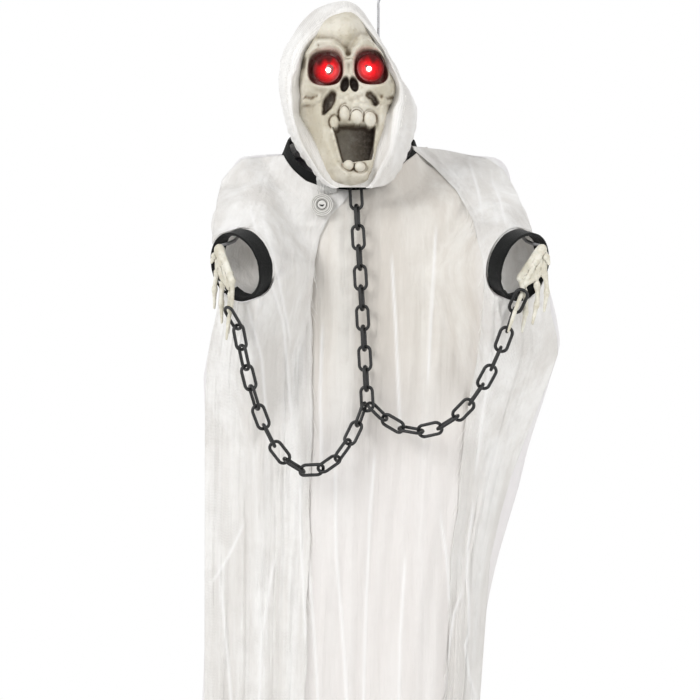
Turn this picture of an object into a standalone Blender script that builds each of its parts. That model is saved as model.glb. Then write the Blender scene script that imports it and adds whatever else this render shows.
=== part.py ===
# Hanging ghost decoration: a lit plastic skull in a gauze hood and robe, with chained hands.
# Metres, +Z up, the front faces -Y. Left and right are as seen from the front.
# The origin is the bearing point at the top of the hanging hook's eye.

import math

import bmesh
import bpy
import numpy as np
from mathutils import Matrix, Vector

# Fits shared by all pieces
clearance = 0.0003          # gap kept where two pieces touch
running_clearance = 0.0005  # gap round a piece that turns or slides
overrun = 0.004             # how far a cutter runs past what it cuts

# Whole figure
figure_length = 1.200       # from the hook's bearing point to the hem
shoulder_half_width = 0.190

# Hook and frame, bent from steel wire
hook_wire = 0.0030
hook_eye_inner = 0.0120     # inner diameter of the eye
hook_neck = 0.0080          # height of the bend under the eye
frame_wire = 0.0060
frame_drop = 0.2340         # hook's bearing point to the shoulder bar
frame_half_width = 0.1350
frame_flat_share = 0.65     # of the half width, before the bar rises to the shoulders
post_wire = 0.0040
arm_wire = 0.0040

# Head
head_side = -0.0350         # head axis, left of the hook
head_forward = 0.0780       # head axis, in front of the hook
skull_top_drop = 0.0400
skull_height = 0.2120
skull_half_width = 0.0570
skull_half_depth = 0.0680
skull_wall = 0.0025
skull_squareness = 2.3      # exponent of the level sections
seam_forward = 0.0060       # skull seam, in front of the head axis
eye_spacing = 0.0460
eye_height = 0.1355         # above the chin
eye_hole_radius = 0.0135
eye_dent_radius = 0.0190
eye_turn = math.radians(18)    # how far the eyes face outward
eye_dent_depth = 0.0110
brow_lift = 0.0040
brow_height = 0.1580
cheekbone_lift = 0.0045
cheekbone_height = 0.1020
cheekbone_spacing = 0.0800
cheek_hollow_depth = 0.0080
cheek_hollow_height = 0.0740
nose_height = 0.1180
nose_hole_radius = 0.0042
nose_hole_spacing = 0.0100
nose_hole_length = 0.0150
mouth_height = 0.0490       # middle of the open mouth, above the chin
mouth_opening = 0.0400
mouth_width = 0.0380
mouth_taper = 0.0100
tooth_radius = 0.0042
tooth_length = 0.0130
upper_teeth_height = 0.0760
lower_teeth_height = 0.0230
cup_wall = 0.0015
cup_depth = 0.0080
cup_flange = 0.0020
led_radius = 0.0025
led_length = 0.0090
socket_radius = 0.0080
socket_length = 0.0500
socket_mouth_height = 0.0440  # above the chin

# Hood
hood_wall = 0.0025
hood_gap = 0.0050           # room round the skull, in which it turns
hood_back = 0.0260          # behind the hook
hood_bottom_drop = 0.2450
hood_hem_rise = 0.0170      # how far above that the hem is cut
face_opening_half_width = 0.0490
face_opening_half_height = 0.1120
face_opening_drop = 0.1520
face_opening_edge = 0.0960  # hood's front edge, in front of the hook

# Robe, lining, sleeves and collar
cloth_wall = 0.0025
fold_depth = 0.0080
fold_count = 16
robe_front = 0.0850         # front of the robe's widest part, before the hook
robe_back = 0.0600
shoulder_drop = 0.2076
robe_shares = [             # height down, left, right, front, back, dip, fold, lining width
    (0.000, 0.87, 0.74, 0.96, 0.90, 1.35, 0.0, 1.00),
    (0.060, 1.03, 0.97, 0.98, 0.92, 0.60, 0.3, 0.99),
    (0.190, 1.09, 1.15, 1.00, 0.92, 0.00, 0.9, 0.80),
    (0.370, 1.08, 0.88, 1.02, 0.95, 0.00, 1.0, 0.72),
    (0.520, 1.08, 0.66, 1.04, 0.97, 0.00, 1.0, 0.76),
    (1.000, 1.10, 0.64, 1.10, 1.00, 0.00, 1.0, 0.80)]
neck_drop = 0.1970          # the neckline's height at the sides
neck_half_width = 0.0745
neck_half_depth = 0.0560
neck_dip = 0.0530           # how much lower the neckline is at the front
neck_rise = 0.0200          # and how much higher at the back
neck_side = -0.0330
neck_forward = 0.0750       # the neckline's front edge
neck_flare = 0.0090         # how far the neck band stands out at its lower edge
lining_gap = 0.0008
lining_shortfall = 0.0600   # how much shorter the lining is than the robe
collar_width = 0.0180
collar_wall = 0.0025
loop_radius = 0.0011        # of the loop that holds the chain
sleeve_radius = 0.0440
cuff_radius = 0.0385        # outside of the sleeve's end
cuff_band = 0.0190
cuff_wall = 0.0022
cuff_forward = 0.1500
cuff_side = 0.1630
cuff_drop = 0.3445
cuff_facing = Vector((0.67, -0.69, -0.27)).normalized()
sleeve_root_side = 0.1480
sleeve_root_forward = 0.0150
sleeve_root_drop = 0.2760
elbow_side = 0.1560
elbow_forward = 0.0850
elbow_drop = 0.3050

# Hands
wrist_forward = 0.1650
wrist_side = 0.1800
wrist_drop = 0.3270
hand_length = 0.1000
finger_radius = 0.0030
fingertip_radius = 0.0020
finger_points = 8
finger_slant = math.radians(40)  # how far from square the index finger crosses the held link
grip_lean = math.radians(20)     # how far the held link leans out from the back of the hand
wrist_radius = 0.0065
wrist_length = 0.0170
wrist_hole_depth = 0.0120

# Chain
link_length = 0.0317
link_width = 0.0175
link_wire = 0.0038
link_play = 0.0008
drop_links = 11
left_links = 14
right_links = 12
junction_side = -0.0145
junction_forward = 0.1080
junction_spread = 0.0023    # each side chain's wire, beside the middle of the lowest drop link's bow
junction_lift = 0.0021      # and above the bow's centre
junction_turn = math.radians(-15)  # the lowest drop link's width, turned from the body's
drop_top_side = -0.0270
drop_top_forward = 0.0960
left_grip = Vector((-0.1595, -0.1650, -0.4122))
right_grip = Vector((0.1498, -0.1650, -0.3932))
junction_drop = 0.5011
left_first_roll = math.radians(50)
right_first_roll = math.radians(105)

# Light switch pod
pod_radius = 0.0130
pod_thickness = 0.0090
pod_wall = 0.0012
pod_side = -0.0665
pod_drop = 0.2700
button_radius = 0.0050
button_height = 0.0030
button_travel = 0.0010
cell_radius = 0.0058
cell_stack = 0.0036
pod_lug_radius = 0.0030

# Derived places
chin_z = -(skull_top_drop + skull_height)
head_axis = Vector((head_side, -head_forward, 0))
face_shift = Vector((head_side, 0, 0))
seam_y = -(head_forward + seam_forward)
frame_z = -frame_drop
link_pitch = link_length - 2 * link_wire - link_play
link_bow = (link_width - link_wire) / 2
junction = Vector((junction_side, -junction_forward, -junction_drop))

palette = {
    "steel": ((0.35, 0.35, 0.36), 0.4, 1.0),
    "bone": ((0.62, 0.58, 0.50), 0.55, 0.0),
    "gauze": ((0.85, 0.83, 0.80), 0.9, 0.0),
    "lining": ((0.80, 0.77, 0.72), 0.9, 0.0),
    "felt": ((0.02, 0.02, 0.02), 0.95, 0.0),
    "black_plastic": ((0.03, 0.03, 0.03), 0.45, 0.0),
    "red_lens": ((0.80, 0.02, 0.02), 0.25, 0.0),
    "led": ((1.0, 0.75, 0.75), 0.2, 0.0),
    "pod_plastic": ((0.85, 0.85, 0.84), 0.4, 0.0),
    "button": ((0.70, 0.70, 0.70), 0.4, 0.0),
    "cell": ((0.6, 0.6, 0.6), 0.3, 1.0),
}


def clear_scene():
    for thing in list(bpy.data.objects):
        bpy.data.objects.remove(thing, do_unlink=True)


def make_collection(name):
    collection = bpy.data.collections.new(name)
    bpy.context.scene.collection.children.link(collection)
    return collection


clear_scene()
figure = make_collection("hanging_ghost")
cutters = make_collection("cutters")
materials = {}


def material(name):
    if name not in materials:
        colour, roughness, metallic = palette[name]
        made = bpy.data.materials.new(name)
        made.use_nodes = True
        shader = made.node_tree.nodes["Principled BSDF"]
        shader.inputs["Base Color"].default_value = (*colour, 1.0)
        shader.inputs["Roughness"].default_value = roughness
        shader.inputs["Metallic"].default_value = metallic
        materials[name] = made
    return materials[name]


def add_piece(name, mesh, finish):
    piece = bpy.data.objects.new(name, mesh)
    figure.objects.link(piece)
    if mesh.materials:
        mesh.materials[0] = material(finish)
    else:
        mesh.materials.append(material(finish))
    return piece


def add_cutter(name, mesh):
    cutter = bpy.data.objects.new(name, mesh)
    cutters.objects.link(cutter)
    cutter.hide_render = True
    cutter.display_type = "WIRE"
    return cutter


def finish_mesh(bm, name, smooth=True):
    bmesh.ops.recalc_face_normals(bm, faces=bm.faces)
    mesh = bpy.data.meshes.new(name)
    bm.to_mesh(mesh)
    bm.free()
    if smooth:
        mesh.shade_smooth()
        mesh.set_sharp_from_angle(angle=math.radians(40))
    return mesh


def box_mesh(name, low, high):
    bm = bmesh.new()
    bmesh.ops.create_cube(bm, size=1)
    size = Vector(high) - Vector(low)
    middle = (Vector(high) + Vector(low)) / 2
    bmesh.ops.transform(bm, matrix=Matrix.Translation(middle) @ Matrix.Diagonal((*size, 1)), verts=bm.verts)
    return finish_mesh(bm, name, smooth=False)


def cylinder_mesh(name, start, end, radius, end_radius=None, sides=24, stretch=1.0):
    """A closed cylinder or cone from start to end, its section stretched along world Z by stretch."""
    start, end = Vector(start), Vector(end)
    bm = bmesh.new()
    bmesh.ops.create_cone(bm, cap_ends=True, segments=sides, radius1=radius,
                          radius2=radius if end_radius is None else end_radius, depth=(end - start).length)
    turn = (end - start).to_track_quat("Z", "Y").to_matrix().to_4x4()
    bmesh.ops.transform(bm, matrix=turn, verts=bm.verts)
    bmesh.ops.transform(bm, matrix=Matrix.Diagonal((1, 1, stretch, 1)), verts=bm.verts)
    bmesh.ops.translate(bm, vec=(start + end) / 2, verts=bm.verts)
    return finish_mesh(bm, name)


def tube_mesh(name, points, radius, resolution=2, closed=False, radii=None):
    """A round tube along points, made as a curve and turned into a welded mesh."""
    curve = bpy.data.curves.new(name, "CURVE")
    curve.dimensions = "3D"
    curve.bevel_depth = radius
    curve.bevel_resolution = resolution
    curve.use_fill_caps = True
    spline = curve.splines.new("POLY")
    spline.points.add(len(points) - 1)
    for k, place in enumerate(points):
        spline.points[k].co = (*place, 1)
        spline.points[k].radius = 1 if radii is None else radii[k] / radius
    spline.use_cyclic_u = closed
    guide = bpy.data.objects.new(name + "_guide", curve)
    cutters.objects.link(guide)
    bpy.context.view_layer.update()
    graph = bpy.context.evaluated_depsgraph_get()
    mesh = bpy.data.meshes.new_from_object(guide.evaluated_get(graph))
    bpy.data.objects.remove(guide)
    bpy.data.curves.remove(curve)
    bm = bmesh.new()
    bm.from_mesh(mesh)
    bpy.data.meshes.remove(mesh)
    bmesh.ops.remove_doubles(bm, verts=bm.verts, dist=radius / 1000)
    return finish_mesh(bm, name)


def smooth_route(points, count):
    """Points at even spacing on a smooth curve through the route's own points."""
    route = [Vector(p) for p in points]
    ends = [2 * route[0] - route[1]] + route + [2 * route[-1] - route[-2]]
    fine = []
    for k in range(1, len(ends) - 2):
        a, b, c, d = ends[k - 1:k + 3]
        for step in range(20):
            t = step / 20
            fine.append(0.5 * (2 * b + (c - a) * t + (2 * a - 5 * b + 4 * c - d) * t ** 2
                               + (3 * b - a - 3 * c + d) * t ** 3))
    fine.append(route[-1])
    along = np.concatenate([[0], np.cumsum([(q - p).length for p, q in zip(fine, fine[1:])])])
    wanted = np.linspace(0, along[-1], count)
    return [Vector([np.interp(w, along, [p[axis] for p in fine]) for axis in range(3)]) for w in wanted]


def shell_mesh(name, rings):
    """An open cloth surface through closed rings of equal point counts."""
    bm = bmesh.new()
    rows = [[bm.verts.new(p) for p in ring] for ring in rings]
    for upper, lower in zip(rows, rows[1:]):
        for k in range(len(upper)):
            nxt = (k + 1) % len(upper)
            bm.faces.new((upper[k], upper[nxt], lower[nxt], lower[k]))
    mesh = bpy.data.meshes.new(name)
    bm.to_mesh(mesh)
    bm.free()
    mesh.shade_smooth()
    mesh.set_sharp_from_angle(angle=math.radians(50))
    return mesh


def solid_of_rings(name, rings):
    """A closed solid through rings, with flat ends."""
    bm = bmesh.new()
    rows = [[bm.verts.new(p) for p in ring] for ring in rings]
    for upper, lower in zip(rows, rows[1:]):
        for k in range(len(upper)):
            nxt = (k + 1) % len(upper)
            bm.faces.new((upper[k], upper[nxt], lower[nxt], lower[k]))
    bm.faces.new(rows[0])
    bm.faces.new(rows[-1])
    return finish_mesh(bm, name)


def thicken(piece, wall, outward=False):
    solid = piece.modifiers.new("wall", "SOLIDIFY")
    solid.thickness = wall
    solid.offset = 1 if outward else -1
    solid.use_even_offset = True


def boolean(piece, other, operation):
    step = piece.modifiers.new(operation.lower() + "_" + other.name, "BOOLEAN")
    step.operation = operation
    step.object = other


# Frame
def build_hook():
    wire = hook_wire / 2
    eye_radius = hook_eye_inner / 2 + wire
    eye_z = -hook_eye_inner / 2
    top = eye_z - eye_radius - hook_neck
    bottom = frame_z + frame_wire / 2 + clearance
    points = [(0, 0, bottom), (0, 0, (bottom + top) / 2), (0, 0, top)]
    for step in range(15):
        turn = math.radians(-50 + 315 * step / 14)
        points.append((eye_radius * math.cos(turn), 0, eye_z + eye_radius * math.sin(turn)))
    add_piece("hanging_hook", tube_mesh("hanging_hook", points, wire, 1), "steel")


def frame_end(side):
    """Where an end of the frame carries the robe's shoulder from below."""
    first_row = robe_shares[0]
    inner = neck_side + side * (neck_half_width + neck_flare)
    outer = side * shoulder_half_width * first_row[1 if side < 0 else 2]
    out = (side * frame_half_width - inner) / (outer - inner)
    shoulder = -(neck_drop + collar_width) * (1 - out) - shoulder_drop * out
    return Vector((side * frame_half_width, 0, shoulder - cloth_wall * 0.9 - frame_wire / 2))


def build_frame():
    flat = frame_half_width * frame_flat_share
    points = smooth_route([frame_end(-1), (-flat, 0, frame_z), (0, 0, frame_z), (flat, 0, frame_z),
                           frame_end(1)], 15)
    add_piece("shoulder_frame", tube_mesh("shoulder_frame", points, frame_wire / 2), "steel")


def post_top_z():
    return chin_z + socket_mouth_height + socket_length - socket_radius / 2


def build_neck_post():
    start = -(frame_wire / 2 + clearance)
    foot = chin_z + socket_mouth_height - socket_length / 4
    lead = start - frame_wire
    points = [Vector((0, start, frame_z))]
    points += smooth_route([(0, lead, frame_z), (head_side / 4, lead - head_forward / 4, frame_z),
                            (head_side * 0.9, -head_forward * 0.86, (frame_z + foot) / 2),
                            (head_side, -head_forward, foot)], 9)
    points.append(Vector((head_side, -head_forward, (foot + post_top_z()) / 2)))
    points.append(Vector((head_side, -head_forward, post_top_z() - clearance)))
    add_piece("neck_post", tube_mesh("neck_post", points, post_wire / 2), "steel")


def wrist_place(side):
    return Vector((side * wrist_side, -wrist_forward, -wrist_drop))


def grip_place(side):
    return left_grip if side < 0 else right_grip


def hand_down(side):
    return (grip_place(side) - wrist_place(side)).normalized()


def sleeve_facing(side):
    """The way that a sleeve's open end faces."""
    return Vector((side * cuff_facing.x, cuff_facing.y, cuff_facing.z))


def build_arm_rod(side, word):
    wrist = wrist_place(side)
    down = hand_down(side)
    start = frame_end(side) - Vector((side * arm_wire, (frame_wire + arm_wire) / 2 + clearance, arm_wire / 2))
    above = wrist - down * wrist_radius * 0.9
    elbow = Vector((side * elbow_side, -elbow_forward, -elbow_drop + sleeve_radius * 0.3))
    lead = start - Vector((0, arm_wire, sleeve_radius * 0.8))
    route = [start]
    facing = sleeve_facing(side)
    route += smooth_route([lead, (lead + elbow) / 2, elbow, above - facing * wrist_radius * 4,
                           above - facing * arm_wire, above], 15)
    route.append(wrist + down * (wrist_hole_depth - clearance))
    name = "arm_rod_" + word
    add_piece(name, tube_mesh(name, route, arm_wire / 2), "steel")


# Skull
skull_shares = [            # height, half width, front, back, as shares of the skull's own sizes
    (0.00, 0.00, 0.62, -0.62), (0.02, 0.22, 0.80, -0.42), (0.07, 0.36, 0.88, -0.34),
    (0.14, 0.45, 0.88, -0.26), (0.22, 0.53, 0.86, -0.15), (0.32, 0.64, 0.88, 0.10),
    (0.42, 0.80, 0.93, 0.55), (0.50, 0.96, 0.97, 0.80), (0.58, 1.00, 0.90, 0.92),
    (0.66, 0.98, 0.94, 1.00), (0.74, 0.96, 0.98, 1.00), (0.84, 0.86, 0.88, 0.92),
    (0.93, 0.64, 0.66, 0.70), (0.98, 0.36, 0.36, 0.38), (1.00, 0.00, 0.00, 0.00)]


def profile(table, share):
    """Reads a table of shares at one height, on a smooth curve through its rows."""
    rows = np.array(table)
    heights, values = rows[:, 0], rows[:, 1:]
    slopes = np.gradient(values, heights, axis=0)
    k = int(np.clip(np.searchsorted(heights, share) - 1, 0, len(rows) - 2))
    step = heights[k + 1] - heights[k]
    t = float(np.clip((share - heights[k]) / step, 0, 1))
    keep, swing_a, swing_b = 1 - t * t * (3 - 2 * t), t * (1 - t) ** 2 * step, -t * t * (1 - t) * step
    if k == 0 or k == len(rows) - 2:
        swing_a = swing_b = 0
        keep = 1 - t
    return values[k] * keep + values[k + 1] * (1 - keep) + slopes[k] * swing_a + slopes[k + 1] * swing_b


def bump(distance, radius):
    return math.exp(-(distance / radius) ** 2)


def face_relief(x, height):
    """How far the face stands out from the plain skull, at a side distance and a height above the chin."""
    def mound(half_spacing, centre_height):
        return bump(math.hypot(abs(x) - half_spacing, height - centre_height), eye_dent_radius)

    eye = mound(eye_spacing / 2, eye_height)
    brow = bump(height - brow_height, brow_lift * 2.5) * bump(x, skull_half_width)
    cheekbone = mound(cheekbone_spacing / 2, cheekbone_height)
    hollow = mound(eye_spacing * 0.75, cheek_hollow_height)
    return brow_lift * brow + cheekbone_lift * cheekbone - eye_dent_depth * eye - cheek_hollow_depth * hollow


def skull_surface(x, y, z):
    """Maps a point of the unit ball to the skull's outside, relative to the chin on the head axis."""
    width, front, back = profile(skull_shares, (z + 1) / 2)
    level = math.hypot(x, y)
    if level < 1e-6:
        across, ahead = 0.0, 0.0
    else:
        stretch = sum(abs(part / level) ** skull_squareness for part in (x, y)) ** (-1 / skull_squareness)
        across, ahead = x / level * stretch, -y / level * stretch
    height = (z + 1) / 2 * skull_height
    side = across * width * skull_half_width
    forward = ((front - back) / 2 + ahead * (front + back) / 2) * skull_half_depth
    if ahead > 0:
        forward += face_relief(side, height) * min(1, ahead * 1.5)
    return Vector((side, -forward, height))


def skull_mesh(name):
    bm = bmesh.new()
    bmesh.ops.create_uvsphere(bm, u_segments=30, v_segments=24, radius=1)
    for vert in bm.verts:
        vert.co = skull_surface(*vert.co) + Vector((head_side, -head_forward, chin_z))
    return finish_mesh(bm, name)


def face_y(x, height):
    """Where the face's outside lies at a side distance from the head axis and a height above the chin."""
    width, front, back = profile(skull_shares, height / skull_height)
    across = min(0.95, abs(x) / (width * skull_half_width))
    ahead = (1 - across ** skull_squareness) ** (1 / skull_squareness)
    forward = ((front - back) / 2 + ahead * (front + back) / 2) * skull_half_depth
    return -(head_forward + forward + face_relief(x, height))


def eye_facing(side):
    return Vector((side * math.sin(eye_turn), -math.cos(eye_turn), 0))


def eye_place(side):
    spread = eye_spacing / 2
    return Vector((head_side + side * spread, face_y(spread, eye_height), chin_z + eye_height))


def build_skull():
    low_z, high_z = chin_z - overrun, chin_z + skull_height + overrun
    reach = skull_half_width + overrun
    front_room = box_mesh("front_room", (head_side - reach, seam_y - 2 * skull_half_depth, low_z),
                          (head_side + reach, seam_y - clearance / 2, high_z))
    back_room = box_mesh("back_room", (head_side - reach, seam_y + clearance / 2, low_z),
                         (head_side + reach, 2 * skull_half_depth - head_forward, high_z))
    front_room = add_cutter("front_room", front_room)
    back_room = add_cutter("back_room", back_room)

    face = add_piece("skull_face", skull_mesh("skull_face"), "bone")
    thicken(face, skull_wall)
    boolean(face, front_room, "INTERSECT")
    for side, word in ((-1, "left"), (1, "right")):
        place = eye_place(side)
        facing = eye_facing(side)
        ring = cylinder_mesh("eye_ring_" + word, place + facing * cup_wall, place - facing * cup_depth,
                             eye_hole_radius + skull_wall)
        boolean(face, add_cutter("eye_ring_" + word, ring), "UNION")
        hole = cylinder_mesh("eye_hole_" + word, place + facing * skull_half_depth / 2,
                             place - facing * (cup_depth + overrun), eye_hole_radius)
        boolean(face, add_cutter("eye_hole_" + word, hole), "DIFFERENCE")
        nose = face_shift + Vector((side * nose_hole_spacing / 2, face_y(0, nose_height), 0))
        nose.z = chin_z + nose_height
        along = Vector((0, nose_hole_length, 0))
        hole = cylinder_mesh("nose_hole_" + word, nose - along, nose + along, nose_hole_radius, sides=12,
                             stretch=1.5)
        boolean(face, add_cutter("nose_hole_" + word, hole), "DIFFERENCE")
    boolean(face, add_cutter("mouth_hole", mouth_mesh()), "DIFFERENCE")
    for name, tooth in tooth_meshes():
        boolean(face, add_cutter(name, tooth), "UNION")

    back = add_piece("skull_back", skull_mesh("skull_back"), "bone")
    thicken(back, skull_wall)
    boolean(back, back_room, "INTERSECT")
    foot = head_axis + Vector((0, 0, chin_z + socket_mouth_height))
    top = foot + Vector((0, 0, socket_length))
    boolean(back, add_cutter("post_socket", cylinder_mesh("post_socket", foot, top, socket_radius)), "UNION")
    mouth = foot - Vector((0, 0, socket_length))
    hole = cylinder_mesh("post_hole", mouth, head_axis + Vector((0, 0, post_top_z())),
                         post_wire / 2 + running_clearance, sides=16)
    boolean(back, add_cutter("post_hole", hole), "DIFFERENCE")


def mouth_mesh():
    """A rounded funnel, wider at the top, that opens the front shell into the hollow head."""
    middle = chin_z + mouth_height
    half = mouth_opening / 2
    rings = []
    for y in (seam_y - 2 * skull_half_depth, seam_y + overrun):
        ring = []
        for step in range(20):
            turn = 2 * math.pi * step / 20
            across, up = math.cos(turn), math.sin(turn)
            grow = (abs(across) ** 4 + abs(up) ** 4) ** -0.25
            width = mouth_width / 2 + mouth_taper / 2 * up * grow
            ring.append((head_side + across * grow * width, y, middle + up * grow * half))
        rings.append(ring)
    return solid_of_rings("mouth_hole", rings)


def tooth_meshes():
    """Rounded pegs fused to the gums over and under the mouth."""
    rows = (("upper", upper_teeth_height, 5, 1.75), ("lower", lower_teeth_height, 2, 2.1))
    for row, height, count, spread in rows:
        for k in range(count):
            x = (k - (count - 1) / 2) * tooth_radius * spread
            gum = Vector((head_side + x, face_y(x, height) + tooth_radius * 0.4, chin_z + height))
            length = Vector((0, 0, tooth_length / 2 * (1 if row == "upper" else -1)))
            name = "tooth_%s_%d" % (row, k + 1)
            peg = cylinder_mesh(name, gum + length, gum - length, tooth_radius, tooth_radius * 0.7, sides=8)
            yield name, peg


def build_eye(side, word):
    """A dished red lens behind each eye hole, with its lamp through the middle."""
    place = eye_place(side)
    rim = eye_hole_radius - clearance
    lamp = led_radius + clearance
    inner = rim - cup_wall
    floor = cup_wall - cup_depth
    outline = [(rim, 0), (rim, -cup_flange), (rim * 0.75, -cup_depth), (lamp, -cup_depth), (lamp, floor),
               (rim * 0.75 - cup_wall, floor), (inner, -cup_flange), (inner, 0)]
    bm = bmesh.new()
    verts = [bm.verts.new((radius, 0, z)) for radius, z in outline]
    for a, b in zip(verts, verts[1:] + verts[:1]):
        bm.edges.new((a, b))
    bmesh.ops.spin(bm, geom=bm.verts[:] + bm.edges[:], cent=(0, 0, 0), axis=(0, 0, 1), angle=2 * math.pi,
                   steps=16, use_merge=True)
    bmesh.ops.remove_doubles(bm, verts=bm.verts, dist=1e-6)
    facing = eye_facing(side)
    front = place - facing * cup_flange
    turn = facing.to_track_quat("Z", "Y").to_matrix().to_4x4()
    bmesh.ops.transform(bm, matrix=Matrix.Translation(front) @ turn, verts=bm.verts)
    add_piece("eye_lens_" + word, finish_mesh(bm, "eye_lens_" + word), "red_lens")

    back = front - facing * cup_depth
    name = "eye_lamp_" + word
    lamp_mesh = cylinder_mesh(name, back - facing * led_length / 3, back + facing * led_length * 2 / 3,
                              led_radius, end_radius=led_radius * 0.6, sides=12)
    add_piece(name, lamp_mesh, "led")


# Hood
hood_shares = [             # height, left, right, front, back, as shares of the hood's own sizes
    (0.00, 0.38, 0.60, -0.10, 0.95), (0.10, 0.62, 0.80, 0.60, 0.98), (0.23, 0.92, 1.08, 0.84, 1.00),
    (0.42, 1.20, 1.18, 0.92, 1.00), (0.60, 1.18, 1.06, 0.98, 1.00), (0.78, 1.06, 1.00, 1.00, 1.00),
    (0.90, 0.84, 0.84, 0.84, 0.92), (0.97, 0.48, 0.50, 0.52, 0.60), (1.00, 0.00, 0.00, 0.00, 0.00)]


def build_hood():
    half_width = skull_half_width + hood_gap + hood_wall
    top = -(skull_top_drop - hood_gap - hood_wall)
    bottom = -hood_bottom_drop
    reach_front = skull_half_depth + hood_gap + hood_wall
    reach_back = head_forward + hood_back
    height = top - bottom
    bm = bmesh.new()
    bmesh.ops.create_uvsphere(bm, u_segments=24, v_segments=16, radius=1)
    for vert in bm.verts:
        x, y, z = vert.co
        left, right, front, back = profile(hood_shares, (z + 1) / 2)
        level = max(1e-6, math.hypot(x, y))
        across, ahead = x / level, -y / level
        if level < 1e-5:
            across, ahead = 0, 0
        side = across * half_width * (left if across < 0 else right)
        forward = ahead * (front * reach_front if ahead > 0 else back * reach_back)
        vert.co = Vector((head_side + side, -head_forward - forward, bottom + (z + 1) / 2 * height))
    hood = add_piece("hood", finish_mesh(bm, "hood"), "gauze")
    thicken(hood, hood_wall)
    low = box_mesh("hood_bottom", (-1, -1, bottom - 1), (1, 1, bottom + hood_hem_rise))
    boolean(hood, add_cutter("hood_bottom", low), "DIFFERENCE")
    middle = -face_opening_drop
    opening = cylinder_mesh("face_opening", (head_side, -1, 0), (head_side, -face_opening_edge, 0),
                            face_opening_half_width, sides=32,
                            stretch=face_opening_half_height / face_opening_half_width)
    opening.transform(Matrix.Translation((0, 0, middle)))
    boolean(hood, add_cutter("face_opening", opening), "DIFFERENCE")
    hole = cylinder_mesh("hook_hole", (0, 0, bottom - overrun), (0, 0, overrun), hook_wire / 2 + clearance,
                         sides=12)
    boolean(hood, add_cutter("hook_hole", hole), "DIFFERENCE")


# Robe and lining
ring_points = 48
sleeve_sides = 16


def around(count):
    """The sine and cosine of each step round a ring, from the right, by the front."""
    return [(math.cos(2 * math.pi * k / count), math.sin(2 * math.pi * k / count)) for k in range(count)]


def neck_ring(spread, drop):
    """A ring of the neck band, which dips at the front."""
    points = []
    for across, ahead in around(ring_points):
        x = neck_side + (neck_half_width + spread) * across
        y = neck_half_depth - neck_forward - (neck_half_depth + spread) * ahead
        z = -neck_drop - drop - (neck_dip if ahead > 0 else neck_rise) * ahead
        points.append(Vector((x, y, z)))
    return points


def robe_ring(row, folded=True, narrow=False):
    """One ring of the robe below the neck band, its points at even spacing."""
    down, left, right, front, back, dip, fold, lining = row
    outline = []
    for across, ahead in around(ring_points * 4):
        x = shoulder_half_width * (left if across < 0 else right) * math.copysign(abs(across) ** 0.75, across)
        y = -robe_front * front * ahead ** 0.75 if ahead > 0 else robe_back * back * (-ahead) ** 0.75
        if narrow:
            x *= lining
            y *= 1 - (1 - lining) * 0.35
        tilt = neck_dip * dip if ahead > 0 else neck_rise * dip * 0.3
        outline.append((x, y, -shoulder_drop - down * (figure_length - shoulder_drop) - tilt * ahead))
    outline = np.array(outline + outline[:1])
    reach = np.concatenate([[0], np.cumsum(np.linalg.norm(np.diff(outline, axis=0), axis=1))])
    wanted = np.linspace(0, reach[-1], ring_points, endpoint=False)
    ring = np.stack([np.interp(wanted, reach, outline[:, axis]) for axis in range(3)], axis=1)
    if folded:
        outward = np.cross(np.roll(ring, 1, axis=0) - np.roll(ring, -1, axis=0), (0, 0, 1))
        outward /= np.linalg.norm(outward, axis=1, keepdims=True)
        wave = np.cos(np.arange(ring_points) * fold_count * 2 * math.pi / ring_points)
        ring += outward * (wave * fold_depth * fold)[:, None]
    return [Vector(p) for p in ring]


def robe_rings():
    return [neck_ring(0, 0), neck_ring(neck_flare, collar_width)] + [robe_ring(row) for row in robe_shares]


def lining_rings():
    rows = robe_shares[1:]
    rings = [robe_ring(row, folded=False, narrow=True) for row in rows]
    rings[-1] = [p + Vector((0, 0, lining_shortfall)) for p in rings[-1]]
    insets = [cloth_wall + lining_gap + fold_depth * row[6] / 2 for row in rows]
    return offset_rings(rings, [-inset for inset in insets])


def offset_rings(rings, distances):
    """Moves a surface of rings outwards along its own normals, each ring by its distance."""
    grid = np.array([[tuple(p) for p in ring] for ring in rings])
    down = np.gradient(grid, axis=0)
    across = (np.roll(grid, -1, axis=1) - np.roll(grid, 1, axis=1)) / 2
    normals = np.cross(across, down)
    normals /= np.linalg.norm(normals, axis=2, keepdims=True)
    return [[Vector(p) for p in ring] for ring in grid + normals * np.reshape(distances, (-1, 1, 1))]


def sleeve_rings(side, radius_change=0.0, lengthen=0.0, reach_back=0.0):
    """Rings of the sleeve from inside the robe to the cuff, whose last stretch is straight."""
    facing = sleeve_facing(side)
    cuff = Vector((side * cuff_side, -cuff_forward, -cuff_drop))
    root = Vector((side * sleeve_root_side, -sleeve_root_forward, -sleeve_root_drop))
    elbow = Vector((side * elbow_side, -elbow_forward, -elbow_drop))
    straight = cuff_band * 1.25
    stations = [(root - (elbow - root).normalized() * reach_back, elbow - root, sleeve_radius),
                (elbow, cuff - root, sleeve_radius), (cuff - facing * straight, facing, cuff_radius),
                (cuff + facing * lengthen, facing, cuff_radius)]
    rings = []
    for centre, direction, radius in stations:
        turn = direction.to_track_quat("Z", "Y").to_matrix()
        wide = radius + radius_change
        rings.append([centre + turn @ Vector((x * wide, y * wide, 0)) for x, y in around(sleeve_sides)])
    return rings


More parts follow.
